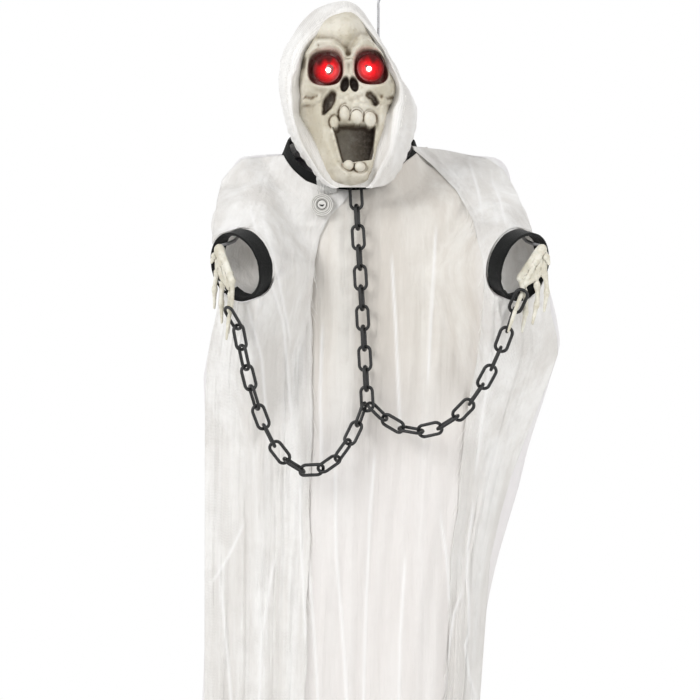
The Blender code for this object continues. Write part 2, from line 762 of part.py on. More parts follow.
def build_robe():
    robe = add_piece("robe", shell_mesh("robe", robe_rings()), "gauze")
    thicken(robe, cloth_wall)
    lining = add_piece("lining", shell_mesh("lining", lining_rings()), "lining")
    thicken(lining, cloth_wall / 2)
    for side, word in ((-1, "left"), (1, "right")):
        hole = add_cutter("armhole_" + word,
                          solid_of_rings("armhole_" + word, sleeve_rings(side, -cloth_wall, cuff_band)))
        wide_hole = add_cutter("lining_armhole_" + word,
                               solid_of_rings("lining_armhole_" + word,
                                              sleeve_rings(side, clearance, cuff_band, cuff_band)))
        sleeve = add_cutter("sleeve_" + word, shell_mesh("sleeve_" + word, sleeve_rings(side)))
        thicken(sleeve, cloth_wall)
        boolean(lining, wide_hole, "DIFFERENCE")
        boolean(robe, hole, "DIFFERENCE")
        boolean(robe, sleeve, "UNION")


def build_cuff(side, word):
    rings = sleeve_rings(side, clearance + cuff_wall, clearance)
    facing = sleeve_facing(side)
    end = rings[-1]
    start = [p - facing * cuff_band for p in end]
    name = "cuff_" + word
    cuff = add_piece(name, shell_mesh(name, [start, end]), "felt")
    thicken(cuff, cuff_wall)


def drop_line():
    """The centre of the lowest drop link, and the way up the chain."""
    lowest = junction + Vector((0, 0, (link_length - link_wire) / 2 - link_bow))
    top = Vector((drop_top_side, -drop_top_forward, lowest.z + link_pitch * (drop_links - 1)))
    return lowest, (top - lowest).normalized()


def collar_loop_mesh():
    """A loop sewn to the front of the collar, round the top bow of the first drop link."""
    lowest, along = drop_line()
    bow = lowest + along * (link_pitch * (drop_links - 1) + (link_length - link_wire) / 2)
    band_top = Vector((bow.x, -neck_forward, -neck_drop - neck_dip))
    down = Vector((0, -neck_flare, -collar_width))
    outward = Vector((0, -collar_width, neck_flare)).normalized() * (clearance + collar_wall * 0.6)
    bend = link_wire / 2 + running_clearance + clearance + loop_radius
    route = [band_top + down * 0.20 + outward]
    for step in range(6):
        turn = math.radians(60 + 40 * step)
        route.append(bow + Vector((0, bend * math.cos(turn), bend * math.sin(turn))))
    route.append(band_top + down * 0.70 + outward)
    return tube_mesh("collar_loop", smooth_route(route, 14), loop_radius, 1)


def build_collar():
    surface = offset_rings([neck_ring(0, 0), neck_ring(neck_flare, collar_width)],
                           [clearance + collar_wall] * 2)
    collar = add_piece("collar", shell_mesh("collar", surface), "felt")
    thicken(collar, collar_wall)
    boolean(collar, add_cutter("collar_loop", collar_loop_mesh()), "UNION")


# Hands
# Each finger's route: down the hand, outward, and out of its back, as shares of hand_length.
finger_shares = {
    "middle": ((0.28, -0.07, -0.01), (0.45, 0.00, -0.03), (0.62, 0.10, -0.02), (0.91, 0.18, 0.02)),
    "ring": ((0.18, -0.03, -0.01), (0.32, 0.09, -0.02), (0.46, 0.17, -0.01), (0.78, 0.25, 0.03)),
    "little": ((0.06, -0.02, 0.00), (0.19, 0.12, 0.00), (0.33, 0.22, 0.01), (0.60, 0.31, 0.04)),
    "thumb": ((0.00, 0.01, 0.00), (0.04, 0.09, 0.03), (0.10, 0.14, 0.05))}
index_start = (0.30, -0.10, -0.01)
index_tip = (0.98, 0.03, 0.17)
palm_shares = (             # down, half width, half thickness and shift outward, as shares of hand_length
    (0.05, 0.055, 0.040, 0.00), (0.20, 0.095, 0.045, -0.01),
    (0.33, 0.115, 0.035, -0.03), (0.42, 0.050, 0.022, -0.06))


def hand_frame(side):
    """Axes of a hand: across towards the body, out of its back, and up the wrist."""
    up = -hand_down(side)
    ahead = Vector((0, -1, 0))
    if side < 0:
        ahead = Vector((-0.80, -0.60, 0))
    across = ahead.cross(up).normalized()
    ahead = up.cross(across).normalized()
    frame = Matrix((across, ahead, up)).transposed().to_4x4()
    return Matrix.Translation(wrist_place(side)) @ frame


def held_link(side):
    """The direction of the link that the index finger holds, up from the chain, and the way of its width."""
    turn = hand_frame(side).to_3x3()
    return turn @ Vector((0, math.sin(grip_lean), math.cos(grip_lean))), turn @ Vector((1, 0, 0))


def index_route(side):
    """The index finger's route, which is straight where it crosses the held link just under the upper bow."""
    arm = (grip_place(side) - wrist_place(side)).length
    seat = (link_wire / 2 + finger_radius + running_clearance + clearance) / math.cos(finger_slant)
    rise = link_pitch / 2 + (link_length - link_wire) / 2 - seat
    cross = Vector((0, rise * math.sin(grip_lean), rise * math.cos(grip_lean) - arm))
    slope = grip_lean + finger_slant
    ahead = Vector((0, math.cos(slope), -math.sin(slope))) * finger_radius * 2
    return [hand_point(side, index_start), cross - ahead, cross + ahead, hand_point(side, index_tip)]


def hand_point(side, shares):
    down, outward, back = (share * hand_length for share in shares)
    return Vector((-side * outward, back, -down))


def build_hand(side, word):
    name = "hand_" + word
    place = hand_frame(side)
    rings = []
    for down, half, thick, shift in palm_shares:
        centre = hand_point(side, (down, shift, 0))
        ring = []
        for across, ahead in around(10):
            ring.append(centre + Vector((across * half, ahead * thick, 0)) * hand_length)
        rings.append(ring)
    palm = solid_of_rings(name, rings)
    palm.transform(place)
    hand = add_piece(name, palm, "bone")
    wrist = cylinder_mesh("wrist_" + word, (0, 0, arm_wire / 2), (0, 0, -wrist_length), wrist_radius,
                          wrist_radius * 0.7, sides=12)
    wrist.transform(place)
    boolean(hand, add_cutter("wrist_" + word, wrist), "UNION")
    routes = {"index": index_route(side)}
    for finger, table in finger_shares.items():
        routes[finger] = [hand_point(side, shares) for shares in table]
    radii = [finger_radius] * (finger_points - 2) + [finger_radius * 0.85, fingertip_radius]
    for finger, route in routes.items():
        points = smooth_route(route, finger_points)
        tube = tube_mesh(finger + "_" + word, points, finger_radius, 1, radii=radii)
        tube.transform(place)
        boolean(hand, add_cutter(finger + "_" + word, tube), "UNION")
    hole = cylinder_mesh("wrist_hole_" + word, (0, 0, wrist_radius * 2), (0, 0, -wrist_hole_depth),
                         arm_wire / 2 + running_clearance, sides=12)
    hole.transform(place)
    boolean(hand, add_cutter("wrist_hole_" + word, hole), "DIFFERENCE")


# Chain
def link_outline():
    """The link's centre line: two straight sides and two half-round bows."""
    straight = (link_length - link_wire) / 2 - link_bow
    points = []
    for end in (1, -1):
        for step in range(5):
            turn = math.pi * step / 4 - math.pi / 2
            place = Vector((straight + link_bow * math.cos(turn), link_bow * math.sin(turn), 0))
            points.append(place * end)
    return points


link_mesh = tube_mesh("chain_link", link_outline(), link_wire / 2, 1, closed=True)


def add_link(name, centre, along, across):
    along = along.normalized()
    across = (across - along * across.dot(along)).normalized()
    frame = Matrix((along, across, along.cross(across))).transposed().to_4x4()
    mesh = link_mesh.copy()
    mesh.name = name
    mesh.transform(Matrix.Translation(centre) @ frame)
    add_piece(name, mesh, "black_plastic")


def hanging_curve(start, end, length, count):
    """Points that divide a chain of this length, hung between start and end, into count equal parts."""
    level = Vector((end.x - start.x, end.y - start.y, 0))
    span, rise = level.length, end.z - start.z
    ratio = math.sqrt(length ** 2 - rise ** 2) / span
    low, high = 1e-6, 20.0
    for _ in range(80):
        guess = (low + high) / 2
        if math.sinh(guess) / guess < ratio:
            low = guess
        else:
            high = guess
    scale = span / (2 * low)
    lowest = span / 2 - scale * math.asinh(rise / (2 * scale * math.sinh(low)))
    begin = scale * math.sinh(-lowest / scale)
    points = []
    for k in range(count + 1):
        reach = lowest + scale * math.asinh((begin + length * k / count) / scale)
        height = scale * (math.cosh((reach - lowest) / scale) - math.cosh(lowest / scale))
        points.append(start + level * (reach / span) + Vector((0, 0, height)))
    return points


drop_across = Vector((math.cos(junction_turn), math.sin(junction_turn), 0))


def build_drop():
    lowest, along = drop_line()
    for k in range(drop_links):
        across = drop_across if k % 2 == 0 else along.cross(drop_across)
        add_link("chain_drop_%02d" % (drop_links - k), lowest + along * link_pitch * k, -along, across)


def swag_points(side):
    """Contact points along a swag, whose first wire crosses the lowest drop link's bow beside its middle."""
    count = (left_links if side < 0 else right_links) - 1
    wire = junction + drop_across * side * junction_spread + Vector((0, 0, junction_lift))
    start = wire
    for _ in range(3):
        points = hanging_curve(start, grip_place(side), link_pitch * count, count)
        start = wire + (points[1] - points[0]).normalized() * (link_wire + link_play) / 2
    return hanging_curve(start, grip_place(side), link_pitch * count, count)


def swag_links(side, first_roll):
    """Centre, direction and width of each link of a swag, which twists evenly from junction to hand."""
    points = swag_points(side)
    toward = points[-1] - points[0]
    facing = Vector((toward.y, -toward.x, 0)).normalized() * side
    held, wide = held_link(side)
    alongs = [(b - a).normalized() for a, b in zip(points, points[1:])]
    rises = [side * facing.cross(along) for along in alongs]
    last_across = alongs[-1].cross(wide)
    last_roll = math.atan2(last_across.dot(facing), last_across.dot(rises[-1]))
    steps = len(alongs) - 1
    twist = (last_roll - first_roll - math.pi / 2 * steps) % math.pi
    if twist > math.pi / 2:
        twist -= math.pi
    links = []
    for k, (along, rise) in enumerate(zip(alongs, rises)):
        roll = first_roll + (math.pi / 2 + twist / steps) * k
        across = rise * math.cos(roll) + facing * math.sin(roll)
        links.append(((points[k] + points[k + 1]) / 2, along, across))
    links.append((points[-1] + held * link_pitch / 2, held, wide))
    return links


def build_swag(side, word, first_roll):
    for k, (centre, along, across) in enumerate(swag_links(side, first_roll)):
        add_link("chain_%s_%02d" % (word, k + 1), centre, along, across)


# Switch pod
def build_pod():
    across = (pod_side + pod_radius - neck_side) / (neck_half_width + neck_flare)
    band = neck_half_depth - neck_forward - (neck_half_depth + neck_flare) * math.sqrt(1 - across ** 2)
    back = Vector((pod_side, band - collar_wall - clearance, -pod_drop))
    ahead = Vector((0, -1, 0))
    front = back + ahead * pod_thickness
    seam = front - ahead * (pod_wall + clearance)
    case = add_piece("pod_case", cylinder_mesh("pod_case", back, seam, pod_radius, sides=28), "pod_plastic")
    hollow = cylinder_mesh("pod_hollow", back + ahead * pod_wall, front + ahead * overrun,
                           pod_radius - pod_wall)
    lug_place = back + ahead * pod_wall + Vector((0, 0, pod_radius + pod_lug_radius / 2))
    lug = cylinder_mesh("pod_lug", lug_place - ahead * pod_wall, lug_place + ahead * pod_wall, pod_lug_radius,
                        sides=12)
    boolean(case, add_cutter("pod_lug", lug), "UNION")
    boolean(case, add_cutter("pod_hollow", hollow), "DIFFERENCE")

    disc = cylinder_mesh("pod_cover", front - ahead * pod_wall, front, pod_radius, pod_radius - pod_wall / 2,
                         sides=28)
    cover = add_piece("pod_cover", disc, "pod_plastic")
    hole = cylinder_mesh("button_hole", front - ahead * overrun, front + ahead * overrun,
                         button_radius + running_clearance, sides=20)
    boolean(cover, add_cutter("button_hole", hole), "DIFFERENCE")

    top = front + ahead * button_travel * 1.5
    button = cylinder_mesh("pod_button", top - ahead * (button_height + button_travel), top, button_radius,
                           button_radius * 0.9, sides=20)
    add_piece("pod_button", button, "button")
    cells_back = back + ahead * (pod_wall + clearance)
    cells = cylinder_mesh("pod_cells", cells_back, cells_back + ahead * (cell_stack - clearance), cell_radius,
                          sides=20)
    add_piece("pod_cells", cells, "cell")


build_hook()
build_frame()
build_neck_post()
build_skull()
build_hood()
build_robe()
build_collar()
build_drop()
for side, word in ((-1, "left"), (1, "right")):
    build_arm_rod(side, word)
    build_eye(side, word)
    build_cuff(side, word)
    build_hand(side, word)
build_swag(-1, "left", left_first_roll)
build_swag(1, "right", right_first_roll)
build_pod()
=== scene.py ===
from contextlib import contextmanager
import math

import bmesh
import bpy
import numpy as np
from mathutils import Matrix, Vector
from mathutils.bvhtree import BVHTree


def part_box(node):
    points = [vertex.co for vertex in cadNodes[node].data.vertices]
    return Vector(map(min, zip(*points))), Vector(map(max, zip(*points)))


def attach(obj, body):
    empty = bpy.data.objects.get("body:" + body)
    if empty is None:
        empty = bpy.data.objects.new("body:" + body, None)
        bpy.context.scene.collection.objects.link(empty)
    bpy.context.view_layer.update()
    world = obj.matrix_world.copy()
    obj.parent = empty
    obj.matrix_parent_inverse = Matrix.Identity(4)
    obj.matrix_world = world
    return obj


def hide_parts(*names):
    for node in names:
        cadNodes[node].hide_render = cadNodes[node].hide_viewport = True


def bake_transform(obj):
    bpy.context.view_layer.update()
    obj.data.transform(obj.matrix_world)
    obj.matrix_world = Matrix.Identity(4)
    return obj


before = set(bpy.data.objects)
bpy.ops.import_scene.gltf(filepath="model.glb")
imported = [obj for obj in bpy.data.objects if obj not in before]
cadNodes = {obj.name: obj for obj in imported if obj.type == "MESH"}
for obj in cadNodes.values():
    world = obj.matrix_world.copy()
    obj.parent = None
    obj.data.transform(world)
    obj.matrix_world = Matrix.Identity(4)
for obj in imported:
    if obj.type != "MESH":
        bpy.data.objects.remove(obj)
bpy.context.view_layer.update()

scene = bpy.context.scene
print("frame loaded, %d nodes" % len(cadNodes))


def addObject(name, data):
    added = bpy.data.objects.new(name, data)
    scene.collection.objects.link(added)
    return added


# camera, at the photograph's distance and height
cameraLook = {"place": (-0.034, -2.5, -0.438), "lens": 107.14, "sensor": 36, "farthest": 60}
camera = addObject("camera", bpy.data.cameras.new("camera"))
camera.data.lens = cameraLook["lens"]
camera.data.sensor_width = cameraLook["sensor"]
camera.data.clip_end = cameraLook["farthest"]
camera.location = cameraLook["place"]
camera.rotation_euler = (math.pi / 2, 0, 0)  # level, looking along Y
scene.camera = camera


# small helpers for node trees
def addNode(tree, kind, settings=None, **values):
    node = tree.nodes.new(kind)
    for key, value in (settings or {}).items():
        setattr(node, key, value)
    for key, value in values.items():
        name = key.replace("_", " ")
        socket = node.inputs[int(name[1:])] if name[0] == "n" and name[1:].isdigit() else node.inputs[name]
        if isinstance(value, bpy.types.NodeSocket):
            tree.links.new(value, socket)
        else:
            socket.default_value = value
    return node


def mathNode(tree, operation, a, b=0.0, clamp=False):
    return addNode(tree, "ShaderNodeMath", {"operation": operation, "use_clamp": clamp}, n0=a, n1=b).outputs[0]


def product(tree, a, b, clamp=False):
    return mathNode(tree, "MULTIPLY", a, b, clamp)


def mixColour(tree, share, a, b, blend="MIX"):
    return addNode(tree, "ShaderNodeMix", {"data_type": "RGBA", "blend_type": blend}, n0=share, n6=a, n7=b).outputs[2]


def rampNode(tree, value, low, high, start=0.0, end=1.0):
    node = addNode(tree, "ShaderNodeMapRange", {"interpolation_type": "SMOOTHSTEP"}, n0=value, n1=low, n2=high,
                   n3=start, n4=end)
    return node.outputs[0]


def noiseNode(tree, vector, scale, detail=3.0, roughness=0.55, stretch=None, distortion=0.0):
    if stretch:
        vector = addNode(tree, "ShaderNodeMapping", None, Vector=vector, Scale=stretch).outputs[0]
    return addNode(tree, "ShaderNodeTexNoise", None, Vector=vector, Scale=scale, Detail=detail,
                   Roughness=roughness, Distortion=distortion).outputs[0]


def startMaterial(name, **values):
    material = bpy.data.materials.new(name)
    material.use_nodes = True
    tree = material.node_tree
    shader = tree.nodes["Principled BSDF"]
    for key, value in values.items():
        socket = shader.inputs[key.replace("_", " ")]
        socket.default_value = value
    place = addNode(tree, "ShaderNodeTexCoord").outputs["Object"]
    return material, tree, shader, place


def paintedOn(tree, attribute):
    return addNode(tree, "ShaderNodeAttribute", {"attribute_name": attribute}).outputs["Fac"]


def bumpInto(tree, shader, height, distance, strength=1.0, below=None):
    bump = addNode(tree, "ShaderNodeBump", None, Height=height, Distance=distance, Strength=strength)
    if below is not None:
        tree.links.new(below, bump.inputs["Normal"])
    tree.links.new(bump.outputs[0], shader.inputs["Normal"])
    return bump.outputs[0]


def colourOf(red, green, blue):
    channels = []
    for value in (red, green, blue):
        share = value / 255
        channels.append(share / 12.92 if share <= 0.04045 else ((share + 0.055) / 1.055) ** 2.4)
    return (*channels, 1.0)


# cloth finishes: threads along the piece's own UV map, in metres
def clothMaterial(name, white, shade, settings):
    material, tree, shader, place = startMaterial(name, Roughness=settings["roughness"], Sheen_Weight=0.25,
                                                  Sheen_Roughness=0.5, Specular_IOR_Level=0.15)
    uv = addNode(tree, "ShaderNodeUVMap", {"uv_map": "cloth"}).outputs[0]
    wander = noiseNode(tree, uv, 16.0, 4.0, 0.65)
    threads = []
    for direction in ("X", "Y"):
        wave = addNode(tree, "ShaderNodeTexWave", {"wave_type": "BANDS", "bands_direction": direction},
                       Vector=uv, Scale=0.314 / settings["spacing"], Distortion=3.0, Detail=1.5)
        wave.inputs["Detail Scale"].default_value = 0.25
        threads.append(wave.outputs[1])
    weave = mathNode(tree, "MAXIMUM", threads[0], threads[1])
    streaks = noiseNode(tree, place, settings["streakScale"], 5.0, 0.62, (1.0, 1.0, settings["streakStretch"]))
    mottle = noiseNode(tree, place, 55.0, 4.0, 0.6)
    # painted fold shade: streak noise mixes the shade colour into the white, standing in for shade in the folds'
    # hollows
    folds = rampNode(tree, streaks, 0.36, 0.66)
    tint = mixColour(tree, folds, shade, white)
    tint = mixColour(tree, product(tree, rampNode(tree, mottle, 0.55, 0.25), 0.35), tint, shade)
    # painted shade in the gaps between the threads
    thin = product(tree, rampNode(tree, weave, 0.8, 0.1), rampNode(tree, wander, 0.42, 0.62))
    tint = mixColour(tree, product(tree, thin, settings["threadShade"]), tint,
                     tuple(0.66 * channel for channel in shade[:3]) + (1.0,))
    if "side" in settings:  # cooler cloth beside and behind the chest
        side = settings["side"]
        split = addNode(tree, "ShaderNodeSeparateXYZ", None, Vector=place)
        out = mathNode(tree, "ABSOLUTE", mathNode(tree, "ADD", split.outputs[0], side["shift"]))
        wobble = product(tree, mathNode(tree, "SUBTRACT", streaks, 0.5), 0.06)
        out = mathNode(tree, "ADD", out, wobble)
        share = rampNode(tree, out, side["from"], side["to"])
        behind = rampNode(tree, split.outputs[1], -0.03, 0.0)
        share = mathNode(tree, "MAXIMUM", share, behind)
        # the cooler cloth gets the same painted fold shade
        tint = mixColour(tree, share, tint, mixColour(tree, folds, side["shade"], side["white"]))
    if "low" in settings:  # fades in towards the hem
        height = addNode(tree, "ShaderNodeSeparateXYZ", None, Vector=place).outputs[2]
        tint = mixColour(tree, rampNode(tree, height, -0.40, -0.62, 0.0, 0.6), tint, settings["low"])
    # a painted highlight, near white, along the pleats' standing edges
    paintedPleatHighlight = product(tree, paintedOn(tree, "pleatHighlight"), 0.9)
    tint = mixColour(tree, paintedPleatHighlight, tint, colourOf(253, 252, 251))
    tree.links.new(tint, shader.inputs["Base Color"])
    crinkle = noiseNode(tree, place, 260.0, 3.0, 0.6, (1.0, 1.0, 0.5))
    height = mathNode(tree, "ADD", product(tree, weave, 0.35), product(tree, crinkle, 0.65))
    low = addNode(tree, "ShaderNodeBump", None, Height=streaks, Distance=settings["streakDepth"])
    bumpInto(tree, shader, height, settings["bump"], below=low.outputs[0])
    return material


def feltMaterial(name):
    material, tree, shader, place = startMaterial(name, Roughness=0.95, Sheen_Weight=0.12, Sheen_Roughness=0.6,
                                                  Specular_IOR_Level=0.1)
    fibre = noiseNode(tree, place, 900.0, 4.0, 0.7, distortion=1.5)
    patch = noiseNode(tree, place, 70.0, 3.0)
    tint = mixColour(tree, rampNode(tree, fibre, 0.4, 0.75), colourOf(4, 5, 5), colourOf(20, 22, 21))
    tint = mixColour(tree, rampNode(tree, patch, 0.45, 0.7, 0.0, 0.4), tint, colourOf(13, 14, 14))
    tree.links.new(tint, shader.inputs["Base Color"])
    bumpInto(tree, shader, fibre, 0.0006)
    return material


def boneMaterial(name, settings):
    material, tree, shader, place = startMaterial(name, Roughness=0.48, Specular_IOR_Level=0.4,
                                                  Subsurface_Weight=0.06, Subsurface_Scale=0.01)
    shader.inputs["Subsurface Radius"].default_value = (1.0, 0.7, 0.45)
    broad = noiseNode(tree, place, settings["broadScale"], 3.0, 0.6)
    fine = noiseNode(tree, place, settings["fineScale"], 4.0, 0.65)
    tint = mixColour(tree, rampNode(tree, broad, 0.35, 0.68), settings["mid"], settings["light"])
    tint = mixColour(tree, rampNode(tree, fine, 0.56, 0.74, 0.0, 0.35), tint, settings["stain"])
    # each layer paints a colour over a mask: painted shade, and in the eye sockets a painted red glow with shade
    for attribute, colour, most in settings["layers"]:
        patchy = product(tree, paintedOn(tree, attribute), rampNode(tree, fine, 0.25, 0.6, 0.7, 1.0))
        tint = mixColour(tree, product(tree, patchy, most, True), tint, colour)
    tree.links.new(tint, shader.inputs["Base Color"])
    tree.links.new(rampNode(tree, fine, 0.3, 0.7, 0.42, 0.6), shader.inputs["Roughness"])
    grain = mathNode(tree, "ADD", fine, product(tree, broad, 1.5))
    bumpInto(tree, shader, grain, settings["bump"])
    return material


def plasticMaterial(name, colour, worn, roughness, settings):
    material, tree, shader, place = startMaterial(name, Roughness=roughness, Specular_IOR_Level=0.5)
    scuff = noiseNode(tree, place, settings["scuffScale"], 5.0, 0.7)
    broad = noiseNode(tree, place, 60.0, 2.0)
    tint = mixColour(tree, rampNode(tree, scuff, 0.5, 0.72, 0.0, settings["wear"]), colour, worn)
    # painted shade in grooves, where a piece has a mask for them
    if "grooveShade" in settings:
        tint = mixColour(tree, paintedOn(tree, "grooveShade"), tint, settings["grooveShade"])
    tree.links.new(tint, shader.inputs["Base Color"])
    rough = mathNode(tree, "ADD", rampNode(tree, scuff, 0.35, 0.7, roughness - 0.08, roughness + 0.14),
                     product(tree, broad, 0.05))
    tree.links.new(rough, shader.inputs["Roughness"])
    bumpInto(tree, shader, scuff, settings["bump"])
    return material


def steelMaterial():
    material, tree, shader, place = startMaterial("drawn steel wire", Roughness=0.38, Metallic=1.0)
    rust = noiseNode(tree, place, 160.0, 4.0, 0.65)
    lines = noiseNode(tree, place, 700.0, 2.0, 0.5, (1.0, 1.0, 0.08))
    tint = mixColour(tree, rampNode(tree, rust, 0.55, 0.75, 0.0, 0.6), colourOf(150, 150, 152), colourOf(84, 74, 66))
    tree.links.new(tint, shader.inputs["Base Color"])
    tree.links.new(rampNode(tree, lines, 0.3, 0.7, 0.28, 0.5), shader.inputs["Roughness"])
    bumpInto(tree, shader, lines, 0.0001)
    return material


def lampMaterial():
    material, tree, shader, place = startMaterial("lit lamp", Roughness=0.2, Emission_Strength=9.0)
    shader.inputs["Base Color"].default_value = (1.0, 0.9, 0.9, 1.0)
    warm = mixColour(tree, noiseNode(tree, place, 500.0), (1.0, 0.62, 0.62, 1.0), (1.0, 0.95, 0.95, 1.0))
    tree.links.new(warm, shader.inputs["Emission Color"])
    return material


def floorMaterial():
    material, tree, shader, place = startMaterial("pale floor", Roughness=0.85)
    tint = mixColour(tree, noiseNode(tree, place, 3.0), colourOf(240, 239, 237), colourOf(246, 245, 243))
    tree.links.new(tint, shader.inputs["Base Color"])
    return material


def lensMaterial(side):
    settings = lensLook
    material, tree, shader, place = startMaterial("red lens " + side, Roughness=0.34, Specular_IOR_Level=0.18)
    reach, browShade = paintedOn(tree, "reach"), paintedOn(tree, "browShade")
    flow = noiseNode(tree, place, 220.0, 3.0, 0.6, distortion=2.0)
    # the lens glows with painted light standing in for the lamp shining through it
    glow = rampNode(tree, reach, 1.0, 0.1, settings["rimGlow"], settings["heartGlow"])
    # painted shade under the brow dims the glow
    glow = product(tree, glow, rampNode(tree, browShade, 1.0, 0.1, 0.12, 1.0))
    glow = product(tree, glow, rampNode(tree, flow, 0.3, 0.6, 0.55, 1.1))
    # painted shade: the rim and the part under the brow darken to the edge colour
    rim = mathNode(tree, "MAXIMUM", rampNode(tree, reach, 0.72, 1.0), browShade)
    tint = mixColour(tree, rim, settings["colour"], settings["edge"])
    tree.links.new(tint, shader.inputs["Base Color"])
    # whitest at the heart, a painted hot spot
    hue = mixColour(tree, rampNode(tree, reach, 0.35, 0.1), settings["light"], settings["heart"])
    tree.links.new(hue, shader.inputs["Emission Color"])
    tree.links.new(glow, shader.inputs["Emission Strength"])
    bumpInto(tree, shader, flow, 0.0006)
    return material


gauzeLook = {"roughness": 0.92, "spacing": 0.0017, "streakScale": 26.0, "streakStretch": 0.10, "threadShade": 0.55,
             "bump": 0.0010, "streakDepth": 0.006}
robeLook = {"roughness": 0.9, "spacing": 0.0013, "streakScale": 24.0, "streakStretch": 0.06, "threadShade": 0.3,
            "bump": 0.0007, "streakDepth": 0.006, "low": colourOf(241, 238, 238),
            "side": {"shift": -0.010, "from": 0.085, "to": 0.15, "white": colourOf(244, 243, 243),
                     "shade": colourOf(234, 230, 233)}}
liningLook = {"roughness": 0.9, "spacing": 0.0012, "streakScale": 22.0, "streakStretch": 0.08, "threadShade": 0.2,
              "bump": 0.0004, "streakDepth": 0.004}
# the lens's painted light: glow colours, and the dark edge colour of its painted shade
lensLook = {"colour": colourOf(150, 8, 16), "edge": colourOf(74, 16, 16), "light": colourOf(236, 6, 22),
            "heart": colourOf(255, 120, 108), "rimGlow": 0.05, "heartGlow": 0.95}
# the skull's layers are painted shade in its hollows, holes and mouth, and a painted red glow with shade in the sockets
skullLook = {"broadScale": 32.0, "fineScale": 190.0, "light": colourOf(222, 217, 204), "mid": colourOf(197, 190, 172),
             "stain": colourOf(160, 143, 118), "bump": 0.0009,
             "layers": [("paintedShade", colourOf(108, 90, 68), 0.95), ("holeShade", colourOf(60, 46, 38), 1.0),
                        ("mouth", colourOf(84, 72, 64), 1.0), ("socket", colourOf(112, 24, 26), 0.97)]}
# the hands' layer is painted shade in their creases and on the sides turned away from the front
handLook = {"broadScale": 90.0, "fineScale": 420.0, "light": colourOf(232, 229, 217), "mid": colourOf(205, 200, 183),
            "stain": colourOf(158, 152, 132), "bump": 0.0006, "layers": [("paintedShade", colourOf(96, 90, 72), 0.95)]}

gauze = clothMaterial("white gauze", colourOf(248, 247, 245), colourOf(230, 227, 223), gauzeLook)
robeCloth = clothMaterial("ivory robe cloth", colourOf(240, 237, 231), colourOf(222, 216, 208), robeLook)
liningCloth = clothMaterial("lavender lining", colourOf(238, 233, 240), colourOf(214, 206, 218), liningLook)
felt = feltMaterial("black felt")
skullBone = boneMaterial("aged bone plastic", skullLook)
handBone = boneMaterial("cream bone plastic", handLook)
chainPlastic = plasticMaterial("black chain plastic", colourOf(11, 12, 13), colourOf(44, 46, 48), 0.38,
                               {"scuffScale": 330.0, "wear": 0.55, "bump": 0.0002})
podPlastic = plasticMaterial("milky pod plastic", colourOf(226, 225, 221), colourOf(190, 187, 181), 0.34,
                             {"scuffScale": 260.0, "wear": 0.6, "bump": 0.00015, "grooveShade": colourOf(142, 139, 133)})
markPlastic = plasticMaterial("dark switch slot", colourOf(20, 20, 20), colourOf(45, 44, 42), 0.6,
                              {"scuffScale": 300.0, "wear": 0.3, "bump": 0.0001})
cellMetal = plasticMaterial("cell casing", colourOf(170, 170, 172), colourOf(120, 118, 115), 0.35,
                            {"scuffScale": 300.0, "wear": 0.5, "bump": 0.0001})
clearFilm = plasticMaterial("clear film", colourOf(240, 240, 238), colourOf(214, 212, 208), 0.25,
                            {"scuffScale": 260.0, "wear": 0.4, "bump": 0.0002})
clearFilm.node_tree.nodes["Principled BSDF"].inputs["Alpha"].default_value = 0.5
steel = steelMaterial()
sewingThread = plasticMaterial("cotton thread", colourOf(240, 238, 234), colourOf(214, 209, 200), 0.85,
                               {"scuffScale": 400.0, "wear": 0.5, "bump": 0.0001})
lampLight = lampMaterial()
floorFinish = floorMaterial()
print("materials made")


# helpers for meshes
def makePiece(name, points, faces, material, uvs=None, smooth=True):
    mesh = bpy.data.meshes.new(name)
    mesh.from_pydata([tuple(map(float, p)) for p in points], [], [tuple(map(int, f)) for f in faces])
    if uvs is not None:
        layer = mesh.uv_layers.new(name="cloth")
        layer.data.foreach_set("uv", np.asarray(uvs, float).ravel())
    if smooth:
        mesh.shade_smooth()
    mesh.materials.append(material)
    return addObject(name, mesh)


def gridPiece(name, grid, material, closed=False, keep=None, flip=False):
    grid = np.asarray(grid, float)
    rows, columns = grid.shape[:2]
    down = np.concatenate([[0], np.cumsum(np.linalg.norm(np.diff(grid, axis=0), axis=2).mean(axis=1))])
    lap = np.concatenate([grid, grid[:, :1]], axis=1) if closed else grid
    across = np.concatenate([[0], np.cumsum(np.linalg.norm(np.diff(lap, axis=1), axis=2).mean(axis=0))])
    faces, uvs = [], []
    last = columns if closed else columns - 1
    for i in range(rows - 1):
        for k in range(last):
            if keep is not None and not keep[i, k]:
                continue
            nxt = (k + 1) % columns
            corners = [(i, k, k), (i, nxt, k + 1), (i + 1, nxt, k + 1), (i + 1, k, k)]
            if flip:
                corners.reverse()
            faces.append([i0 * columns + c for i0, c, _ in corners])
            uvs += [(across[u], down[i0]) for i0, _, u in corners]
    piece = makePiece(name, grid.reshape(-1, 3), faces, material, uvs)
    tidyLoose(piece)
    return piece


@contextmanager
def editMesh(piece):
    bm = bmesh.new()
    bm.from_mesh(piece.data)
    yield bm
    bm.to_mesh(piece.data)
    bm.free()


def tidyLoose(piece):
    with editMesh(piece) as bm:
        bmesh.ops.delete(bm, geom=[v for v in bm.verts if not v.link_faces], context="VERTS")


def applyModifiers(piece):
    graph = bpy.context.evaluated_depsgraph_get()
    graph.update()
    mesh = bpy.data.meshes.new_from_object(piece.evaluated_get(graph))
    old = piece.data
    piece.modifiers.clear()
    piece.data = mesh
    mesh.name = old.name
    bpy.data.meshes.remove(old)
    return piece


def thicken(piece, wall, offset=-1.0):
    solid = piece.modifiers.new("wall", "SOLIDIFY")
    solid.thickness = wall
    solid.offset = offset
    return applyModifiers(piece)


def asSheet(piece, wall):
    # thickens the sheet to its wall
    thicken(piece, wall)
    return piece


